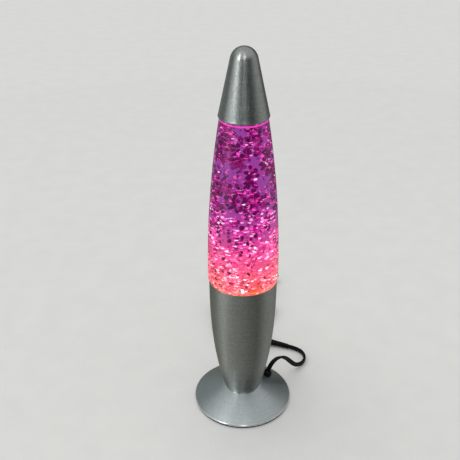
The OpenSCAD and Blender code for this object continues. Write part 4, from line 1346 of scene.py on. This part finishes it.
@dataclass
class TwinFlex:
    """The flat twin flex: a lead to the switch, then a tail, a coil and the run to the plug."""

    foot: Foot
    width: float = 4.8
    thick: float = 2.4
    groove_turn: float = 118.0
    rib_steps: int = 10
    gland_inside: float = 4.4
    switch_x: float = 4.5
    switch_y: float = 86.0
    switch_turn: float = 160.0
    switch_l: float = 46.0
    port_z: float = 4.0
    layer_z: float = 3.2
    turns: float = 8.14
    climb_turns: float = 0.5
    inner_r: float = 20.5
    pitch: float = 2.9
    rise: float = 5.3
    straight: float = 5.0
    end_run: float = 20.0
    end_steps: int = 12
    fall_share: float = 0.75
    plug_z: float = 6.85
    relief_thick: Point = (6.2, 7.0)
    relief_thin: Point = (5.9, 3.5)
    relief_ribs: int = 6
    relief_groove: float = 0.9
    relief_points: int = 5
    relief_steps: int = 28
    rings_per_turn: int = 60
    stiffness: str = "limp"

    @property
    def switch_way(self) -> Vector:
        """Direction through the switch."""
        turn = math.radians(self.switch_turn)
        return Vector((math.cos(turn), math.sin(turn), 0))

    def port(self, side: int) -> Vector:
        """Place where the flex enters (-1) or leaves (1) the switch."""
        middle = Vector((self.switch_x, self.switch_y, self.port_z))
        return middle + self.switch_way * side * self.switch_l / 2

    def lead_route(self) -> list[Twisted]:
        """Listed points from the gland to the switch, each with the twist of the flat side.

        Returns:
            Each point in millimetres, with its twist in degrees.
        """
        start = self.foot.gland_place - self.foot.gland_way * self.gland_inside
        out = self.foot.gland_end + self.foot.gland_way * self.width
        near = self.port(-1) - self.switch_way * self.straight
        return [
            (*start, 0), (*self.foot.gland_end, 0), (*out, 0),
            (30.2, 20.7, 22.9, 8), (34, 23.3, 24.8, 20), (38.2, 26.2, 24.3, 35), (42.4, 29.1, 21.4, 48),
            (46.2, 31.7, 16.6, 58), (49.8, 34.2, 11.2, 66), (53.4, 36.7, 6.6, 75), (57.4, 39.6, 3.8, 84),
            (61.6, 43.6, 2.7, 90), (64.6, 49.6, 2.6, 90), (64.6, 56.6, 2.6, 90), (61.4, 62.8, 2.6, 90),
            (55.6, 67, 2.8, 90), (48.8, 69.8, 3.2, 90), (41.5, 72.5, 3.6, 90), (35, 74.9, 3.9, 90),
            (*near, 90), (*self.port(-1), 90)]

    def tail_route(self) -> list[Twisted]:
        """Listed points from the switch to the coil.

        Returns:
            Each point in millimetres, with its twist in degrees.
        """
        near = self.port(1) + self.switch_way * self.straight
        return [
            (*self.port(1), 90), (*near, 90), (-25.4, 98.4, 3.8, 90), (-27.9, 102.6, 3.5, 90),
            (-28.9, 108, 3.3, 90), (-29.1, 114, self.layer_z, 90), (-29.1, 121, self.layer_z, 90),
            (-29.1, 126, self.layer_z, 90), (-29.1, 131, self.layer_z, 90)]

    @property
    def coil_middle(self) -> Vector:
        """Middle of the coil on the table."""
        end = self.tail_route()[-1]
        return Vector((end[0] + self.inner_r + self.pitch * self.turns / 2, end[1] + self.straight, 0))

    def coil_point(self, turn: float) -> Twisted:
        """A point of the coil, which winds in on the lower layer and out on the upper one.

        Args:
            turn: Turns from the start of the coil.

        Returns:
            The point in millimetres, with its twist in degrees.
        """
        past = turn - self.turns / 2
        radius = self.inner_r + self.pitch * abs(past)
        angle = math.pi - math.tau * turn
        climb = min(1.0, max(0.0, past / self.climb_turns + 0.5))
        middle = self.coil_middle
        return (middle.x + radius * math.cos(angle), middle.y + radius * math.sin(angle),
                self.layer_z + self.rise * climb, 90)

    @property
    def plug_turn(self) -> float:
        """Direction from the coil to the plug's pins, in radians."""
        return math.radians(90 - 360 * self.turns)

    def end_point(self, share: float) -> Twisted:
        """A point of the run from the coil down to the plug.

        Args:
            share: Share of the run, from the coil.

        Returns:
            The point in millimetres, with its twist in degrees.
        """
        end = Vector(self.coil_point(self.turns)[:3])
        fall = (1 - math.cos(math.pi * min(1.0, share / self.fall_share))) / 2
        way = Vector((math.cos(self.plug_turn), math.sin(self.plug_turn), 0))
        place = end + way * self.end_run * share
        return (place.x, place.y, end.z - (end.z - self.plug_z) * fall, 90)

    def coil_route(self) -> list[Twisted]:
        """Points of the coil's turns and of the run down to the plug.

        Returns:
            Each point in millimetres, with its twist in degrees.
        """
        count = int(self.turns * self.rings_per_turn)
        wound = [self.coil_point(i / self.rings_per_turn) for i in range(count + 1)]
        return wound + [self.end_point(share) for share in spread(0, 1, self.end_steps)[1:]]

    def flex_section(self, _share: float) -> list[Point]:
        """Outline of the flex, the same all along: two round ribs with a groove between them.

        Args:
            _share: Share of the route, not used here.

        Returns:
            Place of each point across the width and the thickness, in millimetres.
        """
        rib = self.thick / 2
        centre = self.width / 2 - rib
        groove = math.radians(self.groove_turn)
        arc = spread(-groove, groove, self.rib_steps)
        right = [(centre + rib * math.cos(a), rib * math.sin(a)) for a in arc]
        return right + [(-w, -t) for w, t in right]

    def relief_section(self, share: float) -> list[Point]:
        """Outline of a strain relief: an oval that shrinks away from the switch, with ribs across it.

        Args:
            share: Share of the sleeve, from the switch.

        Returns:
            Place of each point across the width and the thickness, in millimetres.
        """
        size = Vector(self.relief_thick).lerp(Vector(self.relief_thin), share)
        hair = 0.01
        on_rib = int(share * self.relief_ribs * 2 + hair) % 2 == 0
        high = size.y if on_rib else size.y * self.relief_groove
        angles = spread(0, math.tau, self.relief_steps)[:-1]
        return [(size.x / 2 * math.cos(a), high / 2 * math.sin(a)) for a in angles]

    def build_reliefs(self) -> Object:
        """Builds the two tapered rubber sleeves at the switch, joined as one piece.

        Returns:
            The finished sleeves.
        """
        sleeves: list[Object] = []
        for route in (list(reversed(self.lead_route())), self.tail_route()):
            bent = smoothed(route[:self.relief_points], rounds=4)
            sleeves.append(sweep("switch_sleeves", bent, self.relief_section))
        reliefs = joined(sleeves)
        dress(reliefs, MOULDED_RUBBER)
        return place_piece(reliefs, Body.BASE, Slot.RUBBER, "switch_reliefs")

    def build_lead(self) -> None:
        route = smoothed(self.lead_route(), rounds=3)
        lead = sweep("lead_flex", route, self.flex_section)
        dress(lead, FLEX_COVER)
        place_piece(lead, Body.BASE, Slot.FLEX, "cord_lead")

    def build_mains(self) -> None:
        route = smoothed(self.tail_route(), rounds=2) + [Vector(p) for p in self.coil_route()]
        mains = sweep("mains_flex", route, self.flex_section)
        dress(mains, FLEX_COVER)
        place_piece(mains, Body.BASE, Slot.FLEX, "cord_tail", "cord_coil")


@dataclass
class Plug:
    """The flat two-pin plug: a moulded body with a ribbed neck."""

    flex: TwinFlex
    tail: Point = (11.0, 8.0)
    nose: Point = (35.0, 13.7)
    length: float = 36.0
    nose_l: float = 12.0
    waist_share: float = 0.8
    rib: float = 1.1
    rib_depth: float = 0.7
    rib_lean: float = 0.15
    ribs: int = 5
    rounding: float = 0.35
    rounded_from: float = 30.0

    def size_at(self, along: float) -> Vector:
        """Width and thickness of the plain body at a distance from its rear face."""
        share = min(1.0, along / (self.length - self.nose_l))
        return Vector(self.tail).lerp(Vector(self.nose), share)

    def stations(self) -> list[Point]:
        """Distances from the rear face, from the nose backwards, each with the depth of the groove there.

        Returns:
            Each distance with its depth, in millimetres.
        """
        neck = self.length - self.nose_l
        found = [(neck * self.waist_share, 0.0), (2 * self.ribs * self.rib + self.rib, 0.0)]
        for number in range(self.ribs, 0, -1):
            start = (2 * number - 1) * self.rib
            found += [(start + self.rib, 0.0), (start + self.rib - self.rib_lean, self.rib_depth),
                      (start + self.rib_lean, self.rib_depth), (start, 0.0)]
        return found + [(0.0, 0.0)]

    def build(self) -> Object:
        """Builds the body from its nose backwards, with grooves across the neck.

        Returns:
            The finished plug.
        """
        select_only()
        bpy.ops.mesh.primitive_cube_add(size=MM)
        body = bpy.context.object
        body.name = "moulded_plug"
        with editing(body):
            bpy.ops.transform.resize(value=(self.nose_l, *self.nose))
            bpy.ops.transform.translate(value=((self.length - self.nose_l / 2) * MM, 0, 0))
            bpy.ops.mesh.select_all(action="DESELECT")
        rearward = -0.9
        for face in body.data.polygons:
            face.select = face.normal.x < rearward
        bpy.ops.object.mode_set(mode="EDIT")
        bpy.ops.mesh.select_mode(type="FACE")
        here = self.length - self.nose_l
        size = Vector(self.nose)
        for along, groove in self.stations():
            bpy.ops.mesh.extrude_region_move(TRANSFORM_OT_translate={"value": ((along - here) * MM, 0, 0)})
            wanted = self.size_at(along) - Vector((2 * groove, 2 * groove))
            bpy.ops.transform.resize(value=(1, wanted.x / size.x, wanted.y / size.y),
                                     center_override=(along * MM, 0, 0))
            here = along
            size = wanted
        bpy.ops.object.mode_set(mode="OBJECT")
        round_edges(body, self.rounding, self.rounded_from)
        rear = Vector(self.flex.end_point(1.0)[:3]) * MM
        settle(body, Matrix.Translation(rear) @ Matrix.Rotation(self.flex.plug_turn, 4, "Z"))
        dress(body, MOULDED_PLASTIC)
        return place_piece(body, Body.BASE, Slot.PLASTIC, "plug_body")


@dataclass(frozen=True)
class Moulding:
    """A small moulding that keeps its node's shape and gets rounded edges, of a width in millimetres."""

    name: str
    node: str
    rounding: float
    finish: Finish = MOULDED_PLASTIC
    slot: Slot = Slot.PLASTIC
    body: Body = Body.BASE

    def build(self) -> Object:
        """Copies the node's mesh to a new piece and rounds its edges.

        Returns:
            The finished moulding.
        """
        piece = add_object(self.name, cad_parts[self.node].data.copy())
        with editing(piece):
            bpy.ops.mesh.remove_doubles(threshold=MERGE_GAP * MM)
            bpy.ops.mesh.dissolve_limited(angle_limit=FLAT_ENOUGH)
        round_edges(piece, self.rounding)
        dress(piece, self.finish)
        return place_piece(piece, self.body, self.slot, self.node)


SWITCH_MOULDINGS = (
    Moulding("switch_tray", "switch_base", 0.5), Moulding("switch_lid", "switch_cover", 0.5),
    Moulding("switch_key", "switch_rocker", 0.3, body=Body.ROCKER))
COIL_STRAP = Moulding("coil_strap", "cord_tie", 0.2, STRAP, Slot.STRAP)


@dataclass(frozen=True)
class SoftLamp:
    """A soft lamp that only metal and glass show: place in millimetres, size in metres, power in watts.

    It faces the axis at the height that is its aim.
    """

    name: str
    place: Place
    size: Point
    power: float
    aim: float

    def build(self) -> None:
        """Hangs the lamp."""
        data = bpy.data.lights.new(self.name, "AREA")
        data.shape = "RECTANGLE"
        data.size = self.size[0]
        data.size_y = self.size[1]
        data.energy = self.power
        lamp = add_object(self.name, data)
        place = Vector(self.place) * MM
        aim = Vector((0, 0, self.aim * MM)) - place
        lamp.matrix_world = Matrix.Translation(place) @ aim.to_track_quat("-Z", "Y").to_matrix().to_4x4()
        lamp.visible_diffuse = False


@dataclass
class Studio:
    """The pale floor, the soft lights and the camera at the photograph's angle."""

    camera_place: Place = (-11.26, -537.0, 485.2)
    camera_down: float = 29.35
    camera_roll: float = -0.29
    lens: float = 56.85
    sensor: float = 36.0
    floor_size: float = 9.0
    world_colour: str = "#fcffff"
    world_level: float = 0.64
    sun_level: float = 1.1
    sun_width: float = 70.0
    sun_tilt: Point = (-14.0, -18.0)
    lamps: tuple[SoftLamp, ...] = (
        SoftLamp("left strip", (-700.0, -600.0, 700.0), (0.32, 0.8), 4.2, 170.0),
        SoftLamp("front lamp", (40.0, -720.0, 920.0), (0.18, 0.5), 1.0, 170.0))
    card_near: float = 50.0
    card_middle: float = 420.0
    card_far: float = 1000.0
    card_low: float = 0.3
    card_high: float = 900.0

    def build_camera(self) -> None:
        """Places the camera and makes it the scene's."""
        data = bpy.data.cameras.new("photo camera")
        data.lens = self.lens
        data.sensor_width = self.sensor
        camera = add_object("photo camera", data)
        turn = Matrix.Rotation(math.radians(90 - self.camera_down), 4, "X")
        roll = Matrix.Rotation(math.radians(self.camera_roll), 4, "Z")
        camera.matrix_world = Matrix.Translation(Vector(self.camera_place) * MM) @ turn @ roll
        bpy.context.scene.camera = camera

    def build_floor(self) -> None:
        """Lays the pale floor."""
        select_only()
        bpy.ops.mesh.primitive_plane_add(size=self.floor_size)
        floor = bpy.context.object
        floor.name = "floor"
        dress(floor, PALE_FLOOR)

    def build_card(self) -> None:
        """Lays a grey card round the lamp that only metal and glass show, for the streaks along them."""
        reaches = (self.card_near, self.card_middle, self.card_far)
        outline = [(reach, self.card_low) for reach in reaches] + [(self.card_far, self.card_high)]
        card = turned("grey card", outline, PLAIN_STEPS)
        dress(card, NEAR_CARD, FAR_CARD)
        paint_faces(card, 1, lambda middle: radius_mm(middle) > self.card_middle)
        card.visible_camera = False
        card.visible_diffuse = False
        card.visible_transmission = False
        card.visible_shadow = False

    def build_sun(self) -> None:
        """Adds a wide soft light from above, which metal and glass don't show."""
        data = bpy.data.lights.new("overhead light", "SUN")
        data.energy = self.sun_level
        data.angle = math.radians(self.sun_width)
        sun = add_object("overhead light", data)
        sun.visible_glossy = False
        sun.rotation_euler = (*map(math.radians, self.sun_tilt), 0)

    def build_world(self) -> None:
        """Fills the room with even pale light."""
        world = bpy.data.worlds.new("pale studio")
        world.use_nodes = True
        tree = world.node_tree
        tree.nodes.clear()
        sky = add_node(tree, "Background", {"Color": linear(self.world_colour), "Strength": self.world_level})
        add_node(tree, "OutputWorld", {"Surface": sky})
        bpy.context.scene.world = world

    def build(self) -> None:
        """Builds the whole studio."""
        bpy.context.scene.view_settings.view_transform = "Standard"
        self.build_camera()
        self.build_floor()
        self.build_card()
        self.build_world()
        self.build_sun()
        for lamp in self.lamps:
            lamp.build()


def main() -> None:
    """Builds the studio and every piece, and dresses the nodes that stay."""
    logging.basicConfig(level=logging.INFO, format="%(name)s: %(message)s")
    Studio().build()
    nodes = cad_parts
    for finish, names in NODE_FINISHES.items():
        for name in names:
            dress(nodes[name], finish)
    foot = Foot()
    flex = TwinFlex(foot)
    switch = [moulding.build() for moulding in SWITCH_MOULDINGS] + [flex.build_reliefs()]
    switch += [nodes["switch_screws"], nodes["switch_contacts"], nodes["switch_bridge"]]
    plug = [Plug(flex).build(), nodes["plug_pins"], nodes["pin_sleeves"], COIL_STRAP.build()]
    flex.build_lead()
    flex.build_mains()
    foot.build_cone()
    foot.build_gland()
    Holder().build()
    bottle = Bottle()
    bottle.build_glass()
    bottle.build_liquid()
    Glitter(bottle).build()
    Cap().build()


if __name__ == "__main__":
    main()
